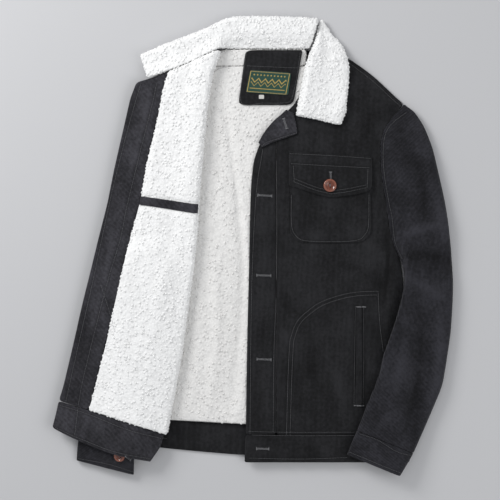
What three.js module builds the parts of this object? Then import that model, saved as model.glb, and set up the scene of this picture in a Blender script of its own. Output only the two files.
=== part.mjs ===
// Sherpa lined corduroy jacket, laid on its back with one front turned open. Millimetres, +Z up.
// X runs across the body, Y from hem to collar, and the resting surface is z = 0.
import * as THREE from "three";

// Driving dimensions
const SEAM = 0.5; // gap between neighbouring pieces
const CLOTH = 2.2; // corduroy wall
const BACK_WALL = 2;
const LINING_LOW = BACK_WALL + SEAM;
const PILE = 6; // front lining wall
const BACK_PILE = 7; // back lining wall
const BAND = 3; // folded waistband wall
const CUFF_WALL = 2.8;
const HEM_ROW = -326; // lowest row of the back
const HEM_Y = -327.7; // waistband seam of the closed front
const HEM_BOTTOM = -376;
const PLACKET_X = 40.2; // seam between the front band and the front panel
const ARMPIT = { x: 257, y: -26 };
const LINING_REST = 10.9; // lowest level of the closed front over the back lining
const FRONT_CROWN = 9;
const ARM_LIFT = 12; // opening of the armhole at its middle
const SIDE_FALL = 30; // width over which the closed front comes down to its side seam
const SLEEVE_HEIGHT = 16;
const HIDDEN_SLEEVE_HEIGHT = 7.5;
const BUTTON_R = 11.5;
const BUTTON_T = 3;
const COLLAR_WALL = 8;
const COLLAR_TURN = 4.6; // bend radius of the collar's roll
const FOLD_TURN = 1.45; // bend radius of the turned-back front's shell
const TURN_STEPS = 6; // flats round that bend
const EDGE_ROUND = 12; // how far in from its edges a laid sleeve is still rounded

// Outline of the body: left and right edge of the back at each height
const BODY = [
  { y: -326, left: -243, right: 273 },
  { y: -261, left: -241, right: 271 },
  { y: -200, left: -238, right: 270 },
  { y: -147, left: -235, right: 267 },
  { y: -94, left: -233, right: 264 },
  { y: -26, left: -226, right: 257 },
  { y: 9, left: -214, right: 242 },
  { y: 42, left: -207, right: 235 },
  { y: 75, left: -201, right: 231 },
  { y: 116, left: -196, right: 224 },
  { y: 150, left: -192, right: 221 },
  { y: 173, left: -194, right: 220 },
  { y: 191, left: -195, right: 223 },
  { y: 205, left: -197, right: 228 },
  { y: 217, left: -199, right: 236 },
  { y: 236, left: -200, right: 252 },
  { y: 248, left: -201, right: 262 },
  { y: 262, left: -199, right: 247 },
  { y: 278, left: -177, right: 230 },
  { y: 294, left: -154, right: 213 },
  { y: 312, left: -129, right: 190 },
  { y: 329, left: -94, right: 164 },
  { y: 343, left: -64, right: 100 },
];

// Front edge of the closed front, which becomes the fold of its turned-over corner above y = 178
const FRONT_EDGE = [
  { y: -376, x: -15 },
  { y: -327, x: -13 },
  { y: -261, x: -12 },
  { y: -147, x: -10 },
  { y: -26, x: -7 },
  { y: 75, x: -5 },
  { y: 116, x: -3 },
  { y: 150, x: 1 },
  { y: 178, x: 11 },
  { y: 191, x: 18 },
  { y: 203, x: 26 },
  { y: 217, x: 38 },
  { y: 227, x: 50 },
  { y: 237, x: 61 },
  { y: 248, x: 72 },
  { y: 262, x: 80 },
  { y: 278, x: 88 },
  { y: 294, x: 92 },
  { y: 312, x: 96 },
  { y: 329, x: 100 },
  { y: 343, x: 103 },
];

// Waistband of the back: its seam and its bottom edge across the body
const HEM_SEAM = { left: -298, right: -326 };
const BACK_HEM = [
  { x: -243, bottom: -343 },
  { x: -142, bottom: -353.5 },
  { x: -91, bottom: -358 },
  { x: -15, bottom: -364 },
  { x: 120, bottom: -366 },
  { x: 273, bottom: -362 },
];

// Rows where body and sleeve share their edge points
const ARM_ROWS = [-26, -17, 2, 35, 75, 115, 150, 180, 205, 225, 240, 248];
const BODY_ROWS = [-300, -270, -235, -200, -165, -130, -95, -60, -40, ...ARM_ROWS, 262, 278, 294, 312, 329];

// Soft ridges pressed into the closed front, from a to b
const FRONT_FOLDS = [
  { ax: 228, ay: 40, bx: 226, by: -60, width: 9, height: -2.6 },
  { ax: 206, ay: 70, bx: 198, by: -110, width: 14, height: 2.4 },
  { ax: 60, ay: -30, bx: 150, by: -95, width: 15, height: 1.4 },
  { ax: 70, ay: -230, bx: 150, by: -300, width: 13, height: 1.6 },
  { ax: 200, ay: 215, bx: 150, by: 262, width: 12, height: 1.2 },
  { ax: 230, ay: -140, bx: 205, by: -250, width: 10, height: 1.6 },
];

// Soft folds of the back lining
const LINING_FOLDS = [
  { ax: -52, ay: 200, bx: -38, by: -20, width: 9, height: 1.1 },
  { ax: -60, ay: 40, bx: -66, by: -240, width: 11, height: 1 },
  { ax: -28, ay: -60, bx: -40, by: -290, width: 10, height: -1.4 },
  { ax: -20, ay: 180, bx: -16, by: -180, width: 8, height: -1.1 },
  { ax: 30, ay: 230, bx: 20, by: 120, width: 12, height: -1 },
];

// Sleeve of the closed side: inner and outer edge from armhole to cuff
const SLEEVE = [
  { inX: 257, inY: -26, outX: 262, outY: 248 },
  { inX: 254, inY: -37, outX: 280, outY: 235 },
  { inX: 250, inY: -46, outX: 295, outY: 214 },
  { inX: 245, inY: -58, outX: 311, outY: 178 },
  { inX: 242, inY: -74, outX: 324, outY: 124 },
  { inX: 236, inY: -98, outX: 338, outY: 60 },
  { inX: 231, inY: -130, outX: 346, outY: -16 },
  { inX: 224, inY: -173, outX: 349, outY: -77 },
  { inX: 218, inY: -226, outX: 344, outY: -156 },
  { inX: 199, inY: -270, outX: 329, outY: -248 },
  { inX: 180, inY: -318, outX: 279, outY: -359 },
];
const SLEEVE_FOLDS = [
  { ax: 262, ay: -40, bx: 300, by: 40, width: 9, height: 3 },
  { ax: 246, ay: -100, bx: 300, by: -60, width: 8, height: 2.4 },
  { ax: 238, ay: -150, bx: 320, by: -120, width: 10, height: 2.2 },
  { ax: 330, ay: -60, bx: 280, by: -180, width: 12, height: -2.4 },
  { ax: 225, ay: -215, bx: 300, by: -235, width: 9, height: 2.6 },
  { ax: 210, ay: -262, bx: 270, by: -285, width: 8, height: 2.2 },
  { ax: 320, ay: -230, bx: 260, by: -320, width: 10, height: -2 },
  { ax: 250, ay: 190, bx: 300, by: 120, width: 14, height: 1.8 },
];
const CUFF = [
  { inX: 180, inY: -318.6, outX: 278.7, outY: -359.6 },
  { inX: 172, inY: -339, outX: 267, outY: -379 },
  { inX: 163, inY: -361, outX: 255, outY: -399 },
];

// Hidden sleeve of the open side
const HIDDEN_SLEEVE = [
  { inX: -226, inY: -26, outX: -200.6, outY: 252 },
  { inX: -240, inY: -60, outX: -221, outY: 154 },
  { inX: -242, inY: -92, outX: -234, outY: 89 },
  { inX: -239.5, inY: -130, outX: -249, outY: 19 },
  { inX: -231, inY: -170, outX: -266, outY: -51 },
  { inX: -218, inY: -212, outX: -280, outY: -116 },
  { inX: -206, inY: -256, outX: -293, outY: -186 },
  { inX: -198, inY: -298, outX: -300, outY: -261 },
  { inX: -199, inY: -332, outX: -302, outY: -318 },
];
const HIDDEN_CUFF = [
  { inX: -199, inY: -332.6, outX: -302, outY: -318.6 },
  { inX: -206.5, inY: -360, outX: -306, outY: -345 },
  { inX: -208, inY: -398, outX: -308, outY: -373 },
];

// Turned-back front, one row from neck to waistband seam: its fold, its front edge, and where the
// layer beneath meets the shoulder, armhole or side seam
const TURNED = [
  { foldX: -56, foldY: 343, edgeX: -203, edgeY: 285, sideY: 252, facing: 60 },
  { foldX: -70, foldY: 304, edgeX: -214, edgeY: 256, sideY: 235, facing: 61 },
  { foldX: -80, foldY: 238, edgeX: -228, edgeY: 194, sideY: 190, facing: 62 },
  { foldX: -86, foldY: 168, edgeX: -242, edgeY: 133, sideY: 140, facing: 59 },
  { foldX: -92, foldY: 98, edgeX: -254, edgeY: 72, sideY: 90, facing: 59 },
  { foldX: -96, foldY: 28, edgeX: -269, edgeY: 14, sideY: 40, facing: 57 },
  { foldX: -103, foldY: -42, edgeX: -283, edgeY: -44, sideY: -26, facing: 56 },
  { foldX: -113, foldY: -112, edgeX: -297, edgeY: -100, sideY: -90, facing: 56 },
  { foldX: -122, foldY: -182, edgeX: -310, edgeY: -158, sideY: -160, facing: 55 },
  { foldX: -135, foldY: -252, edgeX: -323, edgeY: -214, sideY: -230, facing: 54 },
  { foldX: -143, foldY: -296, edgeX: -331, edgeY: -247, sideY: -275, facing: 54 },
  { foldX: -149, foldY: -327, edgeX: -338, edgeY: -268, sideY: -297, facing: 54 },
];
const POCKET_ROW = 3.95; // inside pocket welt, in rows from the neck
const POCKET_HALF = 0.125;
const POCKET_ROWS = [POCKET_ROW - 0.2, POCKET_ROW - POCKET_HALF, POCKET_ROW + POCKET_HALF, POCKET_ROW + 0.2];
const TURNED_ROWS = [0, 0.5, 1, 1.5, 2, 2.5, 3, 3.5, ...POCKET_ROWS, 4.5, 5, 5.5, 6, 7, 8, 9, 10, 11];
const TURNED_BAND = [
  { foldX: -149.2, foldY: -327.7, edgeX: -338.2, edgeY: -268.7, sideY: -297.7, sag: 0 },
  { foldX: -155, foldY: -350, edgeX: -343, edgeY: -291, sideY: -320, sag: 5 },
  { foldX: -173, foldY: -376, edgeX: -349, edgeY: -315, sideY: -342, sag: 9 },
];
const NECK_SAG = 4;

// Collar: neck seam and roll edge, from the turned-back front round the back to the closed front
const COLLAR = [
  { seamX: -184, seamY: 289, rollX: -196, rollY: 334 },
  { seamX: -163, seamY: 297, rollX: -178, rollY: 342 },
  { seamX: -142, seamY: 305, rollX: -156, rollY: 352 },
  { seamX: -125, seamY: 313, rollX: -137, rollY: 359 },
  { seamX: -108, seamY: 321, rollX: -118, rollY: 366 },
  { seamX: -91, seamY: 330, rollX: -98, rollY: 374 },
  { seamX: -74, seamY: 337, rollX: -80, rollY: 381 },
  { seamX: -57, seamY: 345, rollX: -61, rollY: 391 },
  { seamX: -40, seamY: 345.5, rollX: -42, rollY: 399 },
  { seamX: -20, seamY: 345, rollX: -20, rollY: 401 },
  { seamX: 16, seamY: 344.5, rollX: 16, rollY: 401 },
  { seamX: 56, seamY: 344.5, rollX: 60, rollY: 400 },
  { seamX: 80, seamY: 344.5, rollX: 92, rollY: 399 },
  { seamX: 99, seamY: 344.5, rollX: 114, rollY: 397 },
];
const COLLAR_FALL = [
  { leftX: 117, leftY: 395, rightX: 122, rightY: 394 },
  { leftX: 112, leftY: 374, rightX: 136, rightY: 371 },
  { leftX: 106, leftY: 352, rightX: 155, rightY: 352 },
  { leftX: 95, leftY: 327, rightX: 164, rightY: 329 },
  { leftX: 88.5, leftY: 304, rightX: 167, rightY: 308 },
  { leftX: 84, leftY: 280, rightX: 166, rightY: 284 },
  { leftX: 79.5, leftY: 257, rightX: 162, rightY: 254 },
  { leftX: 76.5, leftY: 240, rightX: 161, rightY: 233 },
  { leftX: 75, leftY: 228, rightX: 152, rightY: 211 },
];

// Turned-over corner of the closed front: its fold and its free edge
const CORNER = [
  { foldX: 60.5, foldY: 236.5, freeX: 70.5, freeY: 231.5 },
  { foldX: 50, foldY: 227, freeX: 74, freeY: 215 },
  { foldX: 38, foldY: 217, freeX: 77, freeY: 196 },
  { foldX: 26, foldY: 203, freeX: 58, freeY: 189 },
  { foldX: 18, foldY: 191, freeX: 36, freeY: 182 },
  { foldX: 11, foldY: 178, freeX: 15, freeY: 172 },
];

const COLOURS = {
  corduroy: 0x2b2b30,
  facing: 0x33323a,
  sherpa: 0xeeece8,
  label: 0x2f4a42,
  tag: 0xd8d6d0,
  button: 0x6e2a1c,
};

// Small maths
const clamp = (v, low = 0, high = 1) => Math.min(high, Math.max(low, v));
const mix = (a, b, t) => a + (b - a) * t;
const smooth = (from, to, v) => {
  const t = clamp((v - from) / (to - from));
  return t * t * (3 - 2 * t);
};
const range = (n) => Array.from({ length: n + 1 }, (_, i) => i / n);

// Smooth curve through one column of a table, against another column
function column(table, key, name) {
  const up = table[0][key] < table.at(-1)[key] ? table : [...table].reverse();
  const slope = up.map((row, i) => {
    if (i === 0 || i === up.length - 1) return 0;
    const before = (row[name] - up[i - 1][name]) / (row[key] - up[i - 1][key]);
    const after = (up[i + 1][name] - row[name]) / (up[i + 1][key] - row[key]);
    return before * after > 0 ? (2 * before * after) / (before + after) : 0;
  });
  return (at) => {
    const v = clamp(at, up[0][key], up.at(-1)[key]);
    let i = 0;
    while (i < up.length - 2 && v > up[i + 1][key]) i += 1;
    const width = up[i + 1][key] - up[i][key];
    const t = (v - up[i][key]) / width;
    const a = up[i][name];
    const b = up[i + 1][name];
    const h = t * t * (3 - 2 * t);
    return a + (b - a) * h + width * (slope[i] * t * (1 - t) ** 2 - slope[i + 1] * t * t * (1 - t));
  };
}

// Row of a table at a fractional index
function rowAt(table, index) {
  const i = clamp(Math.floor(index), 0, table.length - 2);
  const t = index - i;
  return Object.fromEntries(Object.keys(table[0]).map((k) => [k, mix(table[i][k], table[i + 1][k], t)]));
}

// Sum of soft ridges and troughs at a point
function folds(list, x, y) {
  let sum = 0;
  for (const f of list) {
    const dx = f.bx - f.ax;
    const dy = f.by - f.ay;
    const t = clamp(((x - f.ax) * dx + (y - f.ay) * dy) / (dx * dx + dy * dy));
    const away = Math.hypot(x - f.ax - t * dx, y - f.ay - t * dy) / f.width;
    sum += f.height * Math.exp(-away * away) * (0.35 + 0.65 * Math.sin(Math.PI * t));
  }
  return sum;
}

// Highest value of a height function close to a point
function highest(height, x, y, reach = 9) {
  const d = reach * 0.7;
  const around = [
    [0, 0], [reach, 0], [-reach, 0], [0, reach], [0, -reach],
    [d, d], [d, -d], [-d, d], [-d, -d],
  ];
  return Math.max(...around.map(([ax, ay]) => height(x + ax, y + ay)));
}

// Closed solid from an index list over a point list, turned outward
function solid(points, faces) {
  let volume = 0;
  for (const [a, b, c] of faces) {
    const cross = new THREE.Vector3().crossVectors(points[b], points[c]);
    volume += points[a].dot(cross);
  }
  const index = faces.flatMap(([a, b, c]) => (volume > 0 ? [a, b, c] : [a, c, b]));
  const geometry = new THREE.BufferGeometry();
  geometry.setAttribute("position", new THREE.Float32BufferAttribute(points.flatMap((p) => p.toArray()), 3));
  geometry.setIndex(index);
  geometry.computeVertexNormals();
  return geometry;
}

// Slab between two grids of points over the same rows and columns
function slab(rows, cols, upper, lower) {
  const across = cols.length;
  const points = [];
  for (const side of [upper, lower]) for (const r of rows) for (const c of cols) points.push(side(r, c));
  const half = rows.length * across;
  const faces = [];
  const quad = (a, b, c, d) => faces.push([a, b, c], [a, c, d]);
  for (let i = 0; i < rows.length - 1; i += 1) {
    for (let j = 0; j < across - 1; j += 1) {
      const a = i * across + j;
      quad(a, a + 1, a + across + 1, a + across);
      quad(half + a, half + a + across, half + a + across + 1, half + a + 1);
    }
  }
  const rim = [];
  for (let j = 0; j < across; j += 1) rim.push(j);
  for (let i = 1; i < rows.length; i += 1) rim.push(i * across + across - 1);
  for (let j = across - 2; j >= 0; j -= 1) rim.push((rows.length - 1) * across + j);
  for (let i = rows.length - 2; i > 0; i -= 1) rim.push(i * across);
  rim.forEach((a, k) => {
    const b = rim[(k + 1) % rim.length];
    quad(b, a, half + a, half + b);
  });
  return solid(points, faces);
}

// Open tube from rings of outer and inner points
function tube(outer, inner) {
  const around = outer[0].length;
  const points = [...outer.flat(), ...inner.flat()];
  const half = outer.length * around;
  const faces = [];
  const quad = (a, b, c, d) => faces.push([a, b, c], [a, c, d]);
  for (let i = 0; i < outer.length - 1; i += 1) {
    for (let j = 0; j < around; j += 1) {
      const a = i * around + j;
      const b = i * around + ((j + 1) % around);
      quad(a, b, b + around, a + around);
      quad(half + a, half + a + around, half + b + around, half + b);
    }
  }
  for (const [row, flip] of [[0, false], [outer.length - 1, true]]) {
    for (let j = 0; j < around; j += 1) {
      const a = row * around + j;
      const b = row * around + ((j + 1) % around);
      if (flip) quad(a, b, half + b, half + a);
      else quad(b, a, half + a, half + b);
    }
  }
  return solid(points, faces);
}

const V = (x, y, z) => new THREE.Vector3(x, y, z);
const bodyLeft = column(BODY, "y", "left");
const bodyRight = column(BODY, "y", "right");
const frontEdge = column(FRONT_EDGE, "y", "x");
const hemSeam = (x) => mix(HEM_SEAM.left, HEM_SEAM.right, (x + 243) / 516);
const hemBottom = column(BACK_HEM, "x", "bottom");

// Height of the closed front's lower face
function frontLevel(x, y) {
  const edge = frontEdge(y);
  const side = bodyRight(y);
  const inside = side - x;
  const u = clamp((x - edge) / (side - edge));
  const hem = smooth(-290, -345, y);
  const arm = y > ARMPIT.y && y < 248 ? Math.sin((Math.PI * (y - ARMPIT.y)) / 274) : 0;
  const atSide = mix(2.5, BAND + SEAM, smooth(-250, -320, y)) + ARM_LIFT * arm;
  const rest = mix(LINING_REST, 9, hem);
  const crown = FRONT_CROWN * Math.sin(Math.PI * u) * (1 - hem) * (1 - 0.8 * smooth(120, 280, y));
  const away = smooth(0, SIDE_FALL, inside);
  return mix(atSide, rest + crown, away) + folds(FRONT_FOLDS, x, y) * away * (1 - hem);
}
const frontTop = (x, y) => frontLevel(x, y) + (y < HEM_Y + 12 ? BAND : CLOTH);

// Back: shell, lining, neck facing and waistband. Their lowest row follows the waistband's seam.
const BACK_ROWS = [HEM_ROW, ...BODY_ROWS.filter((y) => y > -300), 343];
function backShell() {
  const at = (z) => (y, u) => {
    const x = mix(bodyLeft(y), bodyRight(y), u);
    return V(x, y === HEM_ROW ? hemSeam(x) + SEAM / 2 : y, z);
  };
  return slab(BACK_ROWS, range(3), at(BACK_WALL), at(0));
}
function backLining() {
  const rows = [HEM_ROW, -270, -230, -190, -150, -110, -70, -30, 10, 50, 90, 130, 170, 210, 250, 282, 314];
  const spread = [
    0, 0.02, 0.1, 0.2, 0.28, 0.32, 0.36, 0.4, 0.44,
    0.48, 0.52, 0.56, 0.62, 0.7, 0.8, 0.9, 0.98, 1,
  ];
  const at = (top) => (y, u) => {
    const x = mix(bodyLeft(y) + 29, bodyRight(y) - 29, u);
    const rim = smooth(0, 0.02, Math.min(u, 1 - u));
    const seen = smooth(-95, -70, x) * (1 - smooth(60, 90, x));
    const z = LINING_LOW + (top ? mix(BACK_PILE - 2, BACK_PILE, rim) + folds(LINING_FOLDS, x, y) * seen : 0);
    return V(x, y === HEM_ROW ? hemSeam(x) + 1 : y, z);
  };
  return slab(rows, spread, at(true), at(false));
}
function neckFacing() {
  const at = (top) => (v, u) => {
    const y = mix(314.8, 343, v);
    const x = mix(Math.max(bodyLeft(y), -110) + 10, 93, u);
    return V(x, y, LINING_LOW + (top ? BACK_PILE - 0.4 : 0));
  };
  return slab(range(2), range(6), at(true), at(false));
}
function backHemBand() {
  const at = (z) => (v, u) => {
    const x = mix(-243, 273, u);
    return V(x, mix(hemSeam(x) - SEAM / 2, hemBottom(x), v), z);
  };
  return slab(range(2), range(12), at(BAND), at(0));
}

// Closed front
function frontSheet(rows, cols, leftOf, rightOf, thick) {
  const at = (lift) => (y, u) => {
    const x = mix(leftOf(y), rightOf(y), u);
    return V(x, y, frontLevel(x, y) + lift);
  };
  return slab(rows, cols, at(thick), at(0));
}
const PANEL_COLS = [0, 0.07, 0.15, 0.24, 0.33, 0.42, 0.51, 0.6, 0.68, 0.76, 0.84, 0.88, 0.92, 0.96, 1];
function leftFrontShell() {
  const start = (y) => (y > 214 ? frontEdge(y) : PLACKET_X + SEAM / 2);
  return frontSheet([HEM_Y, ...BODY_ROWS, 336], PANEL_COLS, start, bodyRight, CLOTH);
}
function leftFrontBand() {
  const rows = [HEM_Y, ...BODY_ROWS.filter((y) => y < 205), 211];
  return frontSheet(rows, range(3), frontEdge, () => PLACKET_X - SEAM / 2, CLOTH);
}
function leftHemBand() {
  const rows = [HEM_BOTTOM, -368, -356, -342, HEM_Y - SEAM];
  return frontSheet(rows, [0, 0.06, 0.14, ...PANEL_COLS.slice(2)], frontEdge, bodyRight, BAND);
}
function leftCorner() {
  // A lip wraps round the fold, then the cloth lies on the front.
  const cols = [-3.2, -2.4, -1.1, -0.7, 2, 8, 0.4, 0.7, 1];
  const at = (top) => (r, c) => {
    const row = rowAt(CORNER, r);
    const length = Math.hypot(row.freeX - row.foldX, row.freeY - row.foldY);
    const along = c >= 2 && c <= 8 ? Math.min(c, length * (c / 30)) : c < 0 ? c : c * length;
    const x = row.foldX + ((row.freeX - row.foldX) / length) * along;
    const y = row.foldY + ((row.freeY - row.foldY) / length) * along;
    const under = frontLevel(Math.max(x, frontEdge(y) + 1), y);
    if (top) return V(x, y, under + CLOTH + (c < -3 ? 1.2 : 4));
    return V(x, y, c < -1 ? under + (c < -3 ? 1 : 0) : highest(frontTop, x, y, 4) + 0.6);
  };
  return slab(range(10).map((t) => t * 5), cols, at(true), at(false));
}

// Pieces sewn on the closed front, from its points moved out
function applique(rows, cols, plan, low, high) {
  const at = (lift) => (v, u) => {
    const p = plan(u, v);
    return V(p.x, p.y, frontTop(p.x, p.y) + lift(u, v));
  };
  return slab(rows, cols, at(high), at(low));
}
const POCKET = { left: 64, right: 205, top: 133, bottom: 6, corner: 24 };
function pocketPlan(u, v) {
  const x = mix(POCKET.left, POCKET.right, u);
  const fromEdge = Math.min(x - POCKET.left, POCKET.right - x);
  const lift = fromEdge < POCKET.corner ? (POCKET.corner - fromEdge) ** 2 / (1.25 * POCKET.corner) : 0;
  return { x, y: mix(POCKET.top - 2 + 4 * u, POCKET.bottom + lift, v) };
}
const FLAP_EDGE = [
  { u: 0, top: 165, bottom: 106 },
  { u: 0.06, top: 164.5, bottom: 103 },
  { u: 0.3, top: 162, bottom: 92 },
  { u: 0.5, top: 160.5, bottom: 84.5 },
  { u: 0.7, top: 159, bottom: 88 },
  { u: 0.95, top: 157, bottom: 95 },
  { u: 1, top: 156, bottom: 102 },
];
const flapTop = column(FLAP_EDGE, "u", "top");
const flapBottom = column(FLAP_EDGE, "u", "bottom");
const flapPlan = (u, v) => ({ x: mix(62, 206, u), y: mix(flapTop(u), flapBottom(u), v) });
const flapRise = (u, v) => mix(0.5, 3, smooth(0.1, 0.34, v));
function chestPocket() {
  const cols = [0, 0.05, 0.12, 0.3, 0.5, 0.7, 0.88, 0.95, 1];
  return applique(range(6), cols, pocketPlan, () => 0.5, () => 2.3);
}
function chestFlap() {
  const cols = [0, 0.06, 0.18, 0.34, 0.5, 0.66, 0.82, 0.94, 1];
  return applique(range(6), cols, flapPlan, flapRise, (u, v) => flapRise(u, v) + 2.6);
}
const WELT = { left: 177.5, right: 189, top: -104, bottom: -277 };
function handPocketWelt() {
  const plan = (u, v) => ({ x: mix(WELT.left, WELT.right, u), y: mix(WELT.top, WELT.bottom, v) });
  return applique(range(8), range(2), plan, () => 0.6, () => 2.6);
}

// Flat button with two thread holes, standing on a point along a normal
function button(name, at, normal, radius = BUTTON_R) {
  const shape = new THREE.Shape().absarc(0, 0, radius - 0.6, 0, 2 * Math.PI);
  for (const x of [-2.6, 2.6]) shape.holes.push(new THREE.Path().absarc(x, 0, 1.2, 0, 2 * Math.PI, true));
  const bevel = { bevelThickness: 0.6, bevelSize: 0.6, bevelSegments: 1, curveSegments: 6 };
  const geometry = new THREE.ExtrudeGeometry(shape, { depth: BUTTON_T - 1.2, ...bevel });
  geometry.translate(0, 0, 0.6);
  const piece = mesh(name, geometry, "button");
  piece.position.copy(at);
  piece.quaternion.setFromUnitVectors(V(0, 0, 1), normal);
  return piece;
}
function normalOf(surface, x, y) {
  const d = 4;
  const slopeX = (surface(x + d, y) - surface(x - d, y)) / (2 * d);
  const slopeY = (surface(x, y + d) - surface(x, y - d)) / (2 * d);
  return V(-slopeX, -slopeY, 1).normalize();
}

// Sleeves and cuffs lie flat and open on what is beneath them. A plan has a table of rows from inner
// to outer edge; `s` runs along the arm, `t` across it, and `along` is where between the edges.
function layersAt({ table, wall, height, rest, crease, start }, s, t, along = t) {
  const row = rowAt(table, s * (table.length - 1));
  const length = Math.hypot(row.outX - row.inX, row.outY - row.inY);
  const least = 2 * wall + SEAM;
  const bend = start ? start.bend(t, s) : { x: 0, y: 0 };
  const y = mix(row.inY, row.outY, along) + bend.y;
  const straight = mix(row.inX, row.outX, along) + bend.x;
  const x = start ? start.keepOff(straight, y, s) : straight;
  const near = clamp((Math.min(t, 1 - t) * length) / EDGE_ROUND);
  const full = mix(least, height, Math.sqrt(1 - (1 - near) ** 2));
  const low = rest(x, y) + (height - full) * 0.4;
  const top = low + full + (crease ? folds(crease, x, y) * near : 0);
  const mouth = start ? start.level(y, low + least) : top;
  return { x, y, low, top: start ? mix(mouth, top, smooth(0, start.reach, s)) : top };
}
function cuffTube(plan, stations, across) {
  const { table, wall } = plan;
  const outer = [];
  const inner = [];
  for (const s of stations) {
    const row = rowAt(table, s * (table.length - 1));
    const length = Math.hypot(row.outX - row.inX, row.outY - row.inY);
    const outside = across.map((t) => layersAt(plan, s, t));
    const inside = across.map((t) => layersAt(plan, s, t, (wall + t * (length - 2 * wall)) / length));
    const ring = (points, raise) => [
      ...points.map((p) => V(p.x, p.y, p.top - raise)),
      ...points.map((p) => V(p.x, p.y, p.low + raise)).reverse(),
    ];
    outer.push(ring(outside, 0));
    inner.push(ring(inside, wall));
  }
  return tube(outer, inner);
}
// Upper or under piece of a sleeve, which meet along its two edges
function sleevePiece(plan, upper) {
  const at = (outer) => (s, t) => {
    const p = layersAt(plan, s, t);
    return V(p.x, p.y, upper ? p.top - (outer ? 0 : plan.wall) : p.low + (outer ? plan.wall : 0));
  };
  return slab(plan.stations, plan.across, at(true), at(false));
}
function restOnFront(x, y) {
  const side = bodyRight(Math.max(y, -326));
  const low = Math.max(y, HEM_BOTTOM);
  if (y > ARMPIT.y) return 6 * (1 - smooth(0, 28, Math.hypot(x - ARMPIT.x, y - ARMPIT.y)));
  const over = frontTop(Math.min(x, side), low) + 1;
  return over * (1 - smooth(0, 28, x - side)) * (1 - smooth(0, 70, low - y));
}
const sleeveRest = (x, y) => highest(restOnFront, x, y, y > -60 ? 5 : 10);
const ARMPIT_SLANT = 0.5; // how fast the sleeve's edge turns in below the armpit
// A sleeve's first rings: they leave the armhole's curve for the table's rows by the share `blend` of
// its length. Where the rows turn in under the armpit, `fan` keeps each one clear of the row before.
function armholeStart({ armhole, gap, rows, table, level, blend, reach, fan = 0 }) {
  const span = rows.at(-1) - rows[0];
  const side = Math.sign(gap);
  return {
    level,
    reach,
    bend: (t, s) => {
      const y = rows[0] + t * span;
      const fade = clamp(1 - s / blend);
      const x = armhole(y) + gap - mix(table[0].inX, table[0].outX, t);
      return { x: x * fade, y: (y - mix(table[0].inY, table[0].outY, t)) * fade };
    },
    keepOff: (x, y, s) => {
      if (!fan) return x;
      const below = Math.max(0, rows[0] - y);
      const off = gap * (1 + 4 * smooth(0, 0.08, s)) + fan * s - ARMPIT_SLANT * below;
      return side * Math.max(side * x, side * armhole(Math.max(y, rows[0])) + off);
    },
  };
}
const ARM_ACROSS = ARM_ROWS.map((y) => (y - ARM_ROWS[0]) / (ARM_ROWS.at(-1) - ARM_ROWS[0]));
const LEFT_SLEEVE = {
  table: SLEEVE,
  stations: range(19),
  across: ARM_ACROSS,
  wall: 2,
  height: SLEEVE_HEIGHT,
  rest: sleeveRest,
  crease: SLEEVE_FOLDS,
  start: armholeStart({
    armhole: bodyRight,
    gap: SEAM,
    rows: ARM_ROWS,
    table: SLEEVE,
    level: (y, least) => Math.max(least, frontLevel(bodyRight(y), y) + CLOTH),
    blend: 0.42,
    reach: 0.2,
    fan: 65,
  }),
};
const CUFF_ACROSS = [0, 0.035, 0.1, 0.22, 0.36, 0.5, 0.64, 0.78, 0.9, 0.965, 1];
const leftCuff = () =>
  cuffTube({ table: CUFF, wall: CUFF_WALL, height: 15, rest: sleeveRest }, range(3), CUFF_ACROSS);

// Open side: the layer beneath, the hidden sleeve and the turned-back front over both
function underLevel(x, y, fromBend = 1e3) {
  const inside = x - bodyLeft(clamp(y, -326, 343));
  const arm = y > ARMPIT.y && y < 252 ? 6 * Math.sin((Math.PI * (y - ARMPIT.y)) / 278) : 0;
  const atSide = mix(3.8, 4.9, smooth(-250, -310, y)) + arm;
  return mix(mix(atSide, 11.2, smooth(0, 30, inside)), 17.4, 1 - smooth(12, 36, fromBend));
}
const BEND_REACH = FOLD_TURN + 1.4 + PILE; // outermost pile to the bend's centre
const foldX = column([...TURNED, ...TURNED_BAND.slice(1)], "foldY", "foldX");
function restOnUnder(x, y) {
  const side = bodyLeft(clamp(y, -326, 343));
  if (y > ARMPIT.y) return 5 * (1 - smooth(0, 20, Math.hypot(x + 226, y - ARMPIT.y)));
  const over = underLevel(Math.max(x, side), y, (foldX(y) - x) * 0.97 - BEND_REACH) + 1.8;
  return over * (1 - smooth(0, 28, side - x)) * (1 - smooth(0, 60, -345 - y));
}
const hiddenRest = (x, y) => highest(restOnUnder, x, y, 10);
const HIDDEN_ROWS = TURNED_ROWS.filter((i) => i <= 6).map((i) => rowAt(TURNED, i).sideY).reverse();
const HIDDEN_SPAN = HIDDEN_ROWS.at(-1) - HIDDEN_ROWS[0];
const RIGHT_SLEEVE = {
  table: HIDDEN_SLEEVE,
  stations: [0, 1, 2, 3, 4, 4.5, 5, 5.5, 6, 6.5, 7, 7.5, 8].map((row) => row / 8),
  across: HIDDEN_ROWS.map((y) => (y - HIDDEN_ROWS[0]) / HIDDEN_SPAN),
  wall: 1.8,
  height: HIDDEN_SLEEVE_HEIGHT,
  rest: hiddenRest,
  start: armholeStart({
    armhole: bodyLeft,
    gap: -2 * SEAM,
    rows: HIDDEN_ROWS,
    table: HIDDEN_SLEEVE,
    level: (y, least) => Math.max(least, underLevel(bodyLeft(y), y) + CLOTH / 2),
    blend: 1 / 8,
    reach: 0.09,
  }),
};
const rightCuff = () =>
  cuffTube({ table: HIDDEN_CUFF, wall: 2.4, height: 9, rest: hiddenRest }, range(4), CUFF_ACROSS);

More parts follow.
